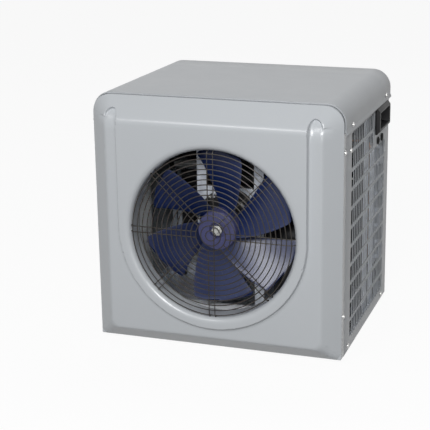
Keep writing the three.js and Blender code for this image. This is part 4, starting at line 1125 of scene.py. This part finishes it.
# Two upright folds of the coil's casing stand just behind the slots in the right side.
fold_x = side_high.x - 8.5 * mm
fold_parts = []
for near, far, top in ((158, 188, slot_lines[-1]), (198, 226, gland_z - 10 * mm)):
    fold_parts.append(bar((fold_x, rim_y + near * mm, panel_low.z + 8 * mm),
                          (fold_x + 1.2 * mm, rim_y + far * mm, top), 0.4 * mm))
coil_folds = piece("coil_casing_folds", *together(fold_parts), galvanised)
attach(coil_folds, "cabinet")


# ---------------------------------------------------------------- duct sheet
# A strip of pale plastic, bent to shape, that stands just behind the edge of the fan's mouth. It
# shuts the space between the mouth, the left side and the tray. Its pale colour is painted light:
# it stands in for the lit inside of the cabinet seen through the mouth.

painted_light_duct, place = start_finish("duct_plastic_painted_light")
haze = noise(place, 34, 4)
# The near-white base colour is painted light, for the lit inside wall and floor behind the mouth.
end_finish(painted_light_duct, {
    "Base Color": haze.blend((0.80, 0.83, 0.85, 1), (0.93, 0.95, 0.97, 1)),
    "Roughness": 0.36 + 0.14 * haze, "Normal": bump(noise(place, 500, 2), 0.05, 0.0002)})
duct_x = -132 * mm
duct_z = fan_z - 122.5 * mm
duct_front = rim_y + 9 * mm
duct_bend = 28 * mm
side_depth = 82         # millimetres behind the rim that the upright part reaches
foot_depth = 40         # the same for the part along the foot, and what the bend takes off
quarter_turn = 1.5708
duct_path = [(duct_x, fan_z + 40 * mm, side_depth), (duct_x, fan_z - 30 * mm, side_depth),
             (duct_x, duct_z + 30 * mm, side_depth)]
duct_path += [(duct_x + duct_bend * (1 - math.cos(a)), duct_z + duct_bend * (1 - math.sin(a)),
               side_depth - foot_depth * a / quarter_turn)
              for a in (math.pi / 16 * i for i in range(1, 9))]
duct_path += [(0, duct_z, foot_depth), (112 * mm, duct_z, foot_depth)]
duct_rows = [[(x, duct_front, z), (x, rim_y + deep * mm, z)] for x, z, deep in duct_path]
duct = thickened("fan_duct_sheet", *strip(duct_rows), painted_light_duct, 1 * mm, 0.2 * mm)
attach(duct, "cabinet")


# ---------------------------------------------------------------- fan motor
# A round housing in semi-gloss black enamel, with cooling ribs, a flange that bolts to the
# bracket and a boss for the front bearing.

black_enamel, place = start_finish("black_enamel")
orange_peel = noise(place, 260, 2)
end_finish(black_enamel, {
    "Base Color": noise(place, 14, 3).blend((0.012, 0.012, 0.013, 1), (0.028, 0.028, 0.030, 1)),
    "Roughness": 0.26 + 0.14 * noise(place, 30), "Normal": bump(orange_peel, 0.12, 0.0003)})

motor_low, motor_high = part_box("fan_motor")
motor_radius = 40 * mm
motor_front = motor_low.y + 5 * mm
flange_front = rim_y + 57.2 * mm
flange_back = rim_y + 59.7 * mm
motor_profile = [(4.4 * mm, motor_low.y), (12 * mm, motor_low.y), (13 * mm, motor_low.y + 1 * mm),
                 (13 * mm, motor_front), (motor_radius - 8 * mm, motor_front),
                 (motor_radius - 4 * mm, motor_front + 0.8 * mm),
                 (motor_radius - 1 * mm, motor_front + 3 * mm), (motor_radius, motor_front + 5 * mm)]
motor_profile += [(motor_radius, flange_front), (motor_radius + 5.6 * mm, flange_front),
                  (motor_radius + 6 * mm, flange_front + 0.4 * mm),
                  (motor_radius + 6 * mm, flange_back - 0.4 * mm),
                  (motor_radius + 5.6 * mm, flange_back), (motor_radius, flange_back)]
rib_y = flange_back + 3 * mm
while rib_y < motor_high.y - 9 * mm:
    motor_profile += [(motor_radius, rib_y), (motor_radius - 1.8 * mm, rib_y + 0.6 * mm),
                      (motor_radius - 1.8 * mm, rib_y + 2.4 * mm), (motor_radius, rib_y + 3 * mm)]
    rib_y += 5.5 * mm
motor_profile += [(motor_radius, motor_high.y - 5 * mm),
                  (motor_radius - 1 * mm, motor_high.y - 2.5 * mm),
                  (motor_radius - 4 * mm, motor_high.y), (0, motor_high.y)]
motor_inside = [(0, motor_high.y - 5 * mm), (motor_radius - 5 * mm, motor_high.y - 5 * mm),
                (motor_radius - 5 * mm, motor_front + 5 * mm), (4.4 * mm, motor_front + 5 * mm)]
motor_rows, motor_faces = turned(motor_profile + motor_inside, "y", (0, 0, fan_z), 64)
motor = piece("fan_motor_housing", motor_rows, motor_faces, black_enamel, 30)
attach(motor, "cabinet")
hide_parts("fan_motor")

for number, angle in enumerate((45, 135, 225, 315), 1):
    turn = math.radians(angle)
    spot = ((motor_radius + 3 * mm) * math.cos(turn), flange_front,
            fan_z + (motor_radius + 3 * mm) * math.sin(turn))
    set_screw(f"motor_flange_screw_{number}", spot, (0, -1, 0), radius=2.6 * mm, height=2.0 * mm)


# ---------------------------------------------------------------- wire clip
# A small stepped bracket of galvanised sheet, folded from one strip and held by two screws. It
# sits above the motor, to keep wires clear of the fan.

clip_x, clip_z = -13 * mm, fan_z + 52 * mm
clip_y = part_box("motor_bracket")[0].y - 0.3 * mm
clip_half = 9 * mm
clip_round = 0.3 * mm
clip_reach = 14 * mm
clip_parts = [
    bar((clip_x - clip_half, clip_y - 1.2 * mm, clip_z - 8 * mm),
        (clip_x + clip_half, clip_y, clip_z + 22 * mm), clip_round),
    bar((clip_x - clip_half, clip_y - clip_reach, clip_z - 8 * mm),
        (clip_x + clip_half, clip_y, clip_z - 6.8 * mm), clip_round),
    bar((clip_x - clip_half, clip_y - clip_reach, clip_z - 20 * mm),
        (clip_x + clip_half, clip_y - 12.8 * mm, clip_z - 6.8 * mm), clip_round)]
wire_clip = piece("motor_wire_clip", *together(clip_parts), galvanised)
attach(wire_clip, "cabinet")
clip_screws = ((clip_x - 3 * mm, clip_z - 14 * mm), (clip_x + 6 * mm, clip_z - 13 * mm))
for number, (x, z) in enumerate(clip_screws, 1):
    set_screw(f"wire_clip_screw_{number}", (x, clip_y - clip_reach, z), (0, -1, 0),
              radius=2.4 * mm, height=1.8 * mm)


# ---------------------------------------------------------------- evaporator
# Thin aluminium fins with a dark coat, pressed on straight copper tubes. The tubes run the whole
# width, from one end plate to the other.

coated_fins, place = start_finish("dark_coated_fins")
ripple = place.node("TexWave", {"bands_direction": "Z"},
                    {"Vector": place, "Scale": 150.0, "Distortion": 1.0})
end_finish(coated_fins, {
    "Base Color": ripple.blend((0.040, 0.043, 0.052, 1), (0.080, 0.084, 0.096, 1)), "Metallic": 0.4,
    "Roughness": 0.38 + 0.1 * noise(place, 80)})

fins_low, fins_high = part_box("evaporator_fins")
fin_pitch = 2.2 * mm
fin_sheet = 0.35 * mm
fin_parts = []
for i in range(int((fins_high.x - fins_low.x) / fin_pitch) + 1):
    x = fins_low.x + i * fin_pitch
    rows = [[(x, y, z), (x + fin_sheet, y, z)] for y, z in (
        (fins_low.y, fins_low.z), (fins_low.y, fins_high.z), (fins_high.y, fins_high.z),
        (fins_high.y, fins_low.z))]
    vertices, faces = strip(rows, loop=True)
    fin_parts.append((vertices, faces + [[0, 2, 4, 6], [1, 3, 5, 7]]))
fin_pack = piece("evaporator_fin_pack", *together(fin_parts), coated_fins)
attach(fin_pack, "cabinet")
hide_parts("evaporator_fins")

drawn_copper, place = start_finish("drawn_copper")
tarnish = noise(place, 28, 4).between(0.42, 0.68)
end_finish(drawn_copper, {
    "Base Color": tarnish.blend((0.78, 0.42, 0.25, 1), (0.36, 0.19, 0.12, 1)), "Metallic": 1.0,
    "Roughness": 0.22 + 0.2 * tarnish})

tube_pitch = 25.4 * mm
tube_radius = 3.4 * mm
tube_y = (fins_low.y + fins_high.y) / 2
tube_parts = []
tube_z = fins_low.z + tube_pitch / 2
while tube_z < fins_high.z:
    tube_parts.append(tube([(x, tube_y, tube_z) for x in (fins_low.x, 0, fins_high.x)],
                           tube_radius, 12))
    tube_z += tube_pitch
tubes = piece("evaporator_tubes", *together(tube_parts), drawn_copper)
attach(tubes, "cabinet")


# ---------------------------------------------------------------- compressor
# A deep-drawn steel can in black enamel, welded round its shoulder, on three rubber mounts. A
# cap covers its terminals and a slim flask on its suction side catches liquid.

can_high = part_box("compressor")[1]
can_centre = (106 * mm, rim_y + 90 * mm, 0)
can_radius = 48 * mm
can_foot = 20.6 * mm
can_top = 192.6 * mm
seam = can_foot + 122 * mm
can_profile = [(0, can_foot), (30 * mm, can_foot)]
can_profile += [(can_radius - 16 * mm + 16 * mm * math.sin(a),
                 can_foot + 17 * mm - 16.5 * mm * math.cos(a))
                for a in (math.pi / 20 * i for i in range(1, 11))]
can_profile += [(can_radius, seam - 4 * mm), (can_radius + 0.6 * mm, seam - 2.4 * mm),
                (can_radius + 1.1 * mm, seam), (can_radius + 0.6 * mm, seam + 2.4 * mm),
                (can_radius - 0.8 * mm, seam + 4 * mm)]
can_profile += [(22 * mm + (can_radius - 22.8 * mm) * math.cos(a),
                 can_top - 30 * mm + 29 * mm * math.sin(a))
                for a in (math.pi / 24 * i for i in range(0, 13))]
can_profile += [(10 * mm, can_top - 0.2 * mm), (0, can_top)]
can_parts = [turned(can_profile, "z", can_centre, 64)]
stub = (can_centre[0], can_centre[1] + 14 * mm, 0)
can_parts.append(turned([(0, can_top - 8 * mm), (7 * mm, can_top - 8 * mm), (6.6 * mm, can_top + 1 * mm),
                         (5.5 * mm, can_top + 3 * mm), (5.5 * mm, can_high.z), (0, can_high.z)],
                        "z", stub, 24))
mount_circle = 56 * mm
mount_spots = [(can_centre[0] + mount_circle * math.cos(math.radians(a)),
                can_centre[1] + mount_circle * math.sin(math.radians(a))) for a in (30, 150, 270)]
for x, y in mount_spots:
    can_parts.append(turned([(4 * mm, can_foot), (12.4 * mm, can_foot), (13 * mm, can_foot + 0.6 * mm),
                             (12.4 * mm, can_foot + 2.5 * mm), (4 * mm, can_foot + 2.5 * mm)],
                            "z", (x, y, 0), 28))
    along = Vector((x - can_centre[0], y - can_centre[1], 0)).normalized()
    across = Vector((-along.y, along.x, 0)) * 11 * mm
    near, far = Vector(can_centre) + along * 25 * mm, Vector(can_centre) + along * 52 * mm
    lug = [near - across, near + across, far + across, far - across]
    rows = [[(p.x, p.y, z) for p in lug] for z in (can_foot + 0.1 * mm, can_foot + 2.4 * mm)]
    vertices, faces = strip(rows, closed=True)
    can_parts.append((vertices, faces + [[0, 1, 2, 3], [4, 5, 6, 7]]))
can = piece("compressor_can", *together(can_parts), black_enamel, 30)
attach(can, "cabinet")
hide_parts("compressor")

for number, (x, y) in enumerate(mount_spots, 1):
    foot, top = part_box(f"compressor_mount_{number}")[0].z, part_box(f"compressor_mount_{number}")[1].z
    rubber = piece(f"compressor_grommet_{number}", *turned_ring([
        (4 * mm, foot), (11 * mm, foot), (12 * mm, foot + 1 * mm), (12 * mm, foot + 3.4 * mm),
        (10.4 * mm, foot + 5 * mm), (9 * mm, foot + 6.6 * mm), (10.4 * mm, foot + 8.4 * mm),
        (12 * mm, foot + 10 * mm), (12 * mm, top - 1 * mm), (11 * mm, top), (4 * mm, top)],
        "z", (x, y, 0), 32), matt_rubber)
    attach(rubber, "cabinet")
    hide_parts(f"compressor_mount_{number}")

cap_low, cap_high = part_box("compressor_terminal_cover")
cap = piece("terminal_cap", *turned([
    (0, cap_low.z), (15 * mm, cap_low.z), (15 * mm, cap_low.z + 2 * mm),
    (13.6 * mm, cap_low.z + 2.6 * mm), (13.2 * mm, cap_high.z - 4 * mm),
    (11 * mm, cap_high.z - 1 * mm), (8 * mm, cap_high.z), (0, cap_high.z)],
    "z", ((cap_low.x + cap_high.x) / 2, (cap_low.y + cap_high.y) / 2, 0), 36), grained_black)
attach(cap, "cabinet")
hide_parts("compressor_terminal_cover")

flask_low, flask_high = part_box("suction_accumulator")
flask_x, flask_y = 45 * mm, rim_y + 130 * mm
flask_radius = 17 * mm
flask_profile = [(0, flask_low.z), (7 * mm, flask_low.z)]
flask_profile += [(7 * mm + 10 * mm * math.sin(a), flask_low.z + 12 * mm - 12 * mm * math.cos(a))
                  for a in (math.pi / 16 * i for i in range(1, 9))]
flask_profile += [(5.5 * mm + 11.5 * mm * math.cos(a), flask_high.z - 22 * mm + 12 * mm * math.sin(a))
                  for a in (math.pi / 16 * i for i in range(9))]
flask_profile += [(5.5 * mm, flask_high.z), (0, flask_high.z)]
strap_run = Vector((can_centre[0] - flask_x, can_centre[1] - flask_y, 0))
strap_along = strap_run.normalized()
strap_across = Vector((-strap_along.y, strap_along.x, 0)) * 8 * mm
near = Vector((flask_x, flask_y, 0)) + strap_along * 14 * mm
far = Vector((flask_x, flask_y, 0)) + strap_along * (strap_run.length - can_radius - 0.4 * mm)
corners = [near - strap_across, near + strap_across, far + strap_across, far - strap_across]
band_low, band_high = flask_low.z + 54 * mm, flask_low.z + 66 * mm
rows = [[(p.x, p.y, z) for p in corners] for z in (band_low, band_high)]
strap_vertices, strap_faces = strip(rows, closed=True)
band = turned_ring([(flask_radius, band_low), (flask_radius + 1.2 * mm, band_low),
                    (flask_radius + 1.2 * mm, band_high), (flask_radius, band_high)],
                   "z", (flask_x, flask_y, 0), 36)
flask = piece("suction_flask", *together([
    turned(flask_profile, "z", (flask_x, flask_y, 0), 36), band,
    (strap_vertices, strap_faces + [[0, 1, 2, 3], [4, 5, 6, 7]])]), black_enamel, 30)
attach(flask, "cabinet")
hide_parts("suction_accumulator")


# ---------------------------------------------------------------- water heat exchanger
# A black plastic tank with a titanium coil inside: pool water runs round the coil. Pipes take
# the water to and from two threaded ports at the rear.

tank_low, tank_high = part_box("exchanger_tank")
tank = (102 * mm, rim_y + 195 * mm, 0)
tank_radius = 46 * mm
tank_wall = 3.5 * mm
rib_pitch = 24 * mm
tank_profile = [(0, tank_low.z), (tank_radius - 4 * mm, tank_low.z),
                (tank_radius - 1 * mm, tank_low.z + 1.2 * mm), (tank_radius, tank_low.z + 4 * mm)]
rib_z = tank_low.z + 40 * mm
while rib_z < tank_high.z - rib_pitch:
    tank_profile += [(tank_radius - 1.4 * mm, rib_z - 3 * mm), (tank_radius, rib_z - 1.6 * mm),
                     (tank_radius, rib_z + 1.6 * mm), (tank_radius - 1.4 * mm, rib_z + 3 * mm)]
    rib_z += rib_pitch
tank_profile += [(tank_radius - 1.4 * mm, tank_high.z - 9 * mm), (tank_radius, tank_high.z - 8 * mm),
                 (tank_radius, tank_high.z), (tank_radius - tank_wall, tank_high.z),
                 (tank_radius - tank_wall, tank_low.z + tank_wall), (0, tank_low.z + tank_wall)]
inlet_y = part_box("water_inlet_port")[0].y
inlet_stub = turned_ring([(8 * mm, tank[1] + 42 * mm), (13 * mm, tank[1] + 42 * mm),
                          (13 * mm, inlet_y - 1.3 * mm), (12 * mm, inlet_y - 0.3 * mm),
                          (8 * mm, inlet_y - 0.3 * mm)],
                         "y", (port_x[0], 0, port_z), 40)
tank_body = piece("exchanger_tank_shell", *together([turned(tank_profile, "z", tank, 72), inlet_stub]),
                  grained_black, 30)
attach(tank_body, "cabinet")
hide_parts("exchanger_tank")
dress("exchanger_lid", grained_black)
lid_top = 209.6 * mm
lid_circle = 43 * mm
for number in range(6):
    turn = math.radians(60 * number + 12)
    spot = (tank[0] + lid_circle * math.cos(turn), tank[1] + lid_circle * math.sin(turn), lid_top)
    set_screw(f"lid_screw_{number + 1}", spot, (0, 0, 1), radius=2.8 * mm, height=2 * mm)

thread_pitch = 3.2 * mm


def mould_port(name, node, x, start):
    """A pipe from inside, a collar behind the panel and a round-threaded stub outside it."""
    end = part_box(node)[1].y
    collar = rear_high.y - sheet - 3.3 * mm
    profile = [(8 * mm, start), (10 * mm, start), (10 * mm, collar), (21.4 * mm, collar),
               (22 * mm, collar + 0.6 * mm), (22 * mm, collar + 3 * mm), (17.6 * mm, collar + 3 * mm),
               (17.6 * mm, rear_high.y + 2.5 * mm)]
    y = rear_high.y + 3 * mm
    while y < end - 4 * mm:
        for radius, along in ((17.6, 0), (18.8, 0.3), (19, 0.45), (18.8, 0.6), (17.6, 0.9)):
            profile.append((radius * mm, y + thread_pitch * along))
        y += thread_pitch
    profile += [(17.6 * mm, end - 1 * mm), (17 * mm, end), (14.6 * mm, end), (14 * mm, end - 0.6 * mm),
                (14 * mm, rear_high.y - sheet), (8 * mm, collar)]
    port = piece(name, *turned_ring(profile, "y", (x, 0, port_z), 56), grained_black, 25)
    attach(port, "cabinet")
    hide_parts(node)


mould_port("inlet_port_moulding", "water_inlet_port", port_x[0], inlet_y)
mould_port("outlet_port_moulding", "water_outlet_port", port_x[1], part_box("water_outlet_port")[0].y)


def rounded_run(corners, radius, steps=8):
    """A run of pipe through its corners, with each corner bent to that radius."""
    corners = [Vector(corner) for corner in corners]
    line = [corners[0]]
    for before, corner, after in zip(corners, corners[1:], corners[2:]):
        back, on = (before - corner), (after - corner)
        reach = min(radius, back.length * 0.48, on.length * 0.48)
        begin, finish = corner + back.normalized() * reach, corner + on.normalized() * reach
        for i in range(steps + 1):
            t = i / steps
            line.append(begin * (1 - t) ** 2 + corner * 2 * t * (1 - t) + finish * t * t)
    return line + [corners[-1]]


def bent_tube(name, node, corners, radius, bend, finish, collars=()):
    """A bent tube with a soldered collar at each place given."""
    line = rounded_run(corners, bend)
    parts = [tube(line, radius, 20)]
    for at, along in collars:
        place_at, way = Vector(at), Vector(along).normalized()
        ring_line = [place_at + way * offset for offset in (-4 * mm, -3 * mm, 3 * mm, 4 * mm)]
        parts.append(tube(ring_line, radius * 1.22, 20))
    run = piece(name, *together(parts), finish)
    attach(run, "cabinet")
    if node:
        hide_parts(node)


boss = (118 * mm, rim_y + 209 * mm)
riser_y = rim_y + 236 * mm
riser_top = 245.6 * mm
bent_tube("outlet_riser", "water_outlet_riser", [
    (*boss, 219.9 * mm), (*boss, riser_top), (port_x[1], riser_y, riser_top),
    (port_x[1], riser_y, port_z), (port_x[1], riser_y + 13.7 * mm, port_z)],
    9 * mm, 12 * mm, grained_black)

titanium, place = start_finish("drawn_titanium")
end_finish(titanium, {
    "Base Color": noise(place, 60, 3).blend((0.46, 0.45, 0.44, 1), (0.64, 0.62, 0.60, 1)), "Metallic": 1.0,
    "Roughness": 0.30 + 0.12 * noise(place, 300)})
gas = (tank[0] - 10 * mm, tank[1] - 22 * mm)
liquid = (tank[0] - 26 * mm, tank[1] + 8 * mm)
coil_radius = tank_radius - tank_wall - 11 * mm
coil_begin = math.atan2(gas[1] - tank[1], gas[0] - tank[0])
coil_line = [(*gas, lid_top + 6 * mm), (*gas, tank_high.z - 8 * mm)]
coil_turns = 4
coil_steps = 24
for i in range(coil_turns * coil_steps + 1):
    angle = coil_begin + 2 * math.pi * i / coil_steps
    coil_line.append((tank[0] + coil_radius * math.cos(angle), tank[1] + coil_radius * math.sin(angle),
                      tank_high.z - 24 * mm - i * mm))
coil_end = tank_high.z - 120 * mm
coil_line += [(tank[0] + coil_radius * 0.4, tank[1] - coil_radius * 0.5, coil_end - 10 * mm),
              (liquid[0] + 8 * mm, liquid[1] - 4 * mm, coil_end - 6 * mm),
              (liquid[0] + 6 * mm, liquid[1], coil_end + 8 * mm),
              (liquid[0] + 6 * mm, liquid[1], tank_high.z - 20 * mm),
              (*liquid, tank_high.z - 6 * mm), (*liquid, lid_top + 6 * mm)]
coil = piece("titanium_coil_tube", *tube(coil_line, 5 * mm, 14), titanium)
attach(coil, "cabinet")
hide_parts("titanium_coil")


# ---------------------------------------------------------------- refrigerant pipes
# Copper tube, bent by hand and soldered. Hot gas goes from the compressor to the coil, liquid
# passes the drier and the thin capillary, and cold gas comes back through the flask.

pipe_top = lid_top + 6.3 * mm
stub_top = can_high.z + 0.3 * mm
bent_tube("hot_gas_pipe", "discharge_pipe", [
    (stub[0], stub[1], stub_top), (stub[0], stub[1], pipe_top + 24 * mm),
    (*gas, pipe_top + 24 * mm), (*gas, pipe_top)],
    4.5 * mm, 14 * mm, drawn_copper,
    [((stub[0], stub[1], stub_top + 5 * mm), (0, 0, 1)), ((*gas, pipe_top + 5 * mm), (0, 0, 1))])

drier = (liquid[0] - 34 * mm, liquid[1] + 26 * mm)
drier_top = pipe_top - 6 * mm
drier_foot = drier_top - 74 * mm
drier_profile = [(0, drier_foot), (3.2 * mm, drier_foot), (3.5 * mm, drier_foot + 2 * mm)]
drier_profile += [(3.5 * mm + 5.5 * mm * math.sin(a), drier_foot + 10 * mm - 8 * mm * math.cos(a))
                  for a in (math.pi / 12 * i for i in range(1, 7))]
drier_profile += [(9 * mm, drier_foot + 36 * mm), (9 * mm, drier_top - 10 * mm)]
drier_profile += [(3.5 * mm + 5.5 * mm * math.cos(a), drier_top - 10 * mm + 8 * mm * math.sin(a))
                  for a in (math.pi / 12 * i for i in range(1, 7))]
drier_profile += [(3.2 * mm, drier_top), (0, drier_top)]
drier_body = piece("filter_drier_body", *turned(drier_profile, "z", (*drier, 0), 36), drawn_copper)
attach(drier_body, "cabinet")
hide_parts("filter_drier")
bent_tube("liquid_line", "liquid_pipe", [
    (*liquid, pipe_top), (*liquid, pipe_top + 22 * mm),
    (*drier, pipe_top + 22 * mm), (*drier, drier_top + 0.3 * mm)],
    4 * mm, 10 * mm, drawn_copper,
    [((*liquid, pipe_top + 5 * mm), (0, 0, 1)), ((*drier, drier_top + 5 * mm), (0, 0, 1))])

flange_x = 158.5 * mm
flange_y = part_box("evaporator_end_plate_right")[0].y
thin = (flange_x + 2 * mm, flange_y - 8 * mm)
bent_tube("capillary_tube", "expansion_capillary", [
    (*drier, drier_foot - 0.3 * mm), (*drier, drier_foot - 14 * mm),
    (drier[0] - 16 * mm, drier[1], drier_foot - 14 * mm),
    (drier[0] - 16 * mm, drier[1], pipe_top + 44 * mm), (*thin, pipe_top + 44 * mm),
    (*thin, fins_low.z + 10 * mm), (thin[0], flange_y - 0.3 * mm, fins_low.z + 10 * mm)],
    2.2 * mm, 10 * mm, drawn_copper)
suction_z = fins_high.z - 9 * mm
bent_tube("cold_gas_pipe", "suction_pipe", [
    (flange_x, flange_y - 0.3 * mm, suction_z), (flange_x, flange_y - 24 * mm, suction_z),
    (flask_x, flask_y, suction_z), (flask_x, flask_y, flask_high.z + 0.3 * mm)],
    4.8 * mm, 16 * mm, drawn_copper,
    [((flask_x, flask_y, flask_high.z + 6 * mm), (0, 0, 1))])
dress("drain_pan", grained_black)


# ---------------------------------------------------------------- electrical box
# A black plastic box hangs on the left side panel, with the control board inside and a lid on its
# front. The fan's run capacitor is a bare metal can in front of the lid.

dress("electrical_box", grained_black)
dress("electrical_box_lid", grained_black)

green_board, place = start_finish("green_circuit_board")
tracks = place.node("TexBrick", None, {"Vector": place, "Scale": 260.0, "Mortar Size": 0.03,
                                       "Color1": (0.02, 0.16, 0.07, 1), "Color2": (0.03, 0.20, 0.09, 1),
                                       "Mortar": (0.05, 0.30, 0.14, 1)})
end_finish(green_board, {"Base Color": tracks, "Roughness": 0.34 + 0.1 * noise(place, 200)})
dress("control_board", green_board)

capacitor_low, capacitor_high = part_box("run_capacitor")
capacitor_radius = 9 * mm
capacitor_spot = (0, (capacitor_low.y + capacitor_high.y) / 2,
                  (capacitor_low.z + capacitor_high.z) / 2)
foot, tip = capacitor_low.x, capacitor_high.x
length = tip - foot - 8 * mm
capacitor = piece("run_capacitor_can", *turned([
    (0, foot), (capacitor_radius - 1 * mm, foot), (capacitor_radius, foot + 1 * mm),
    (capacitor_radius, foot + length - 3 * mm), (capacitor_radius - 0.8 * mm, foot + length - 2 * mm),
    (capacitor_radius, foot + length - 1 * mm), (capacitor_radius - 1 * mm, foot + length),
    (2.6 * mm, foot + length), (2.5 * mm, tip - 0.5 * mm), (2 * mm, tip), (0, tip)],
    "x", capacitor_spot, 36), bright_zinc)
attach(capacitor, "cabinet")
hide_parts("run_capacitor")
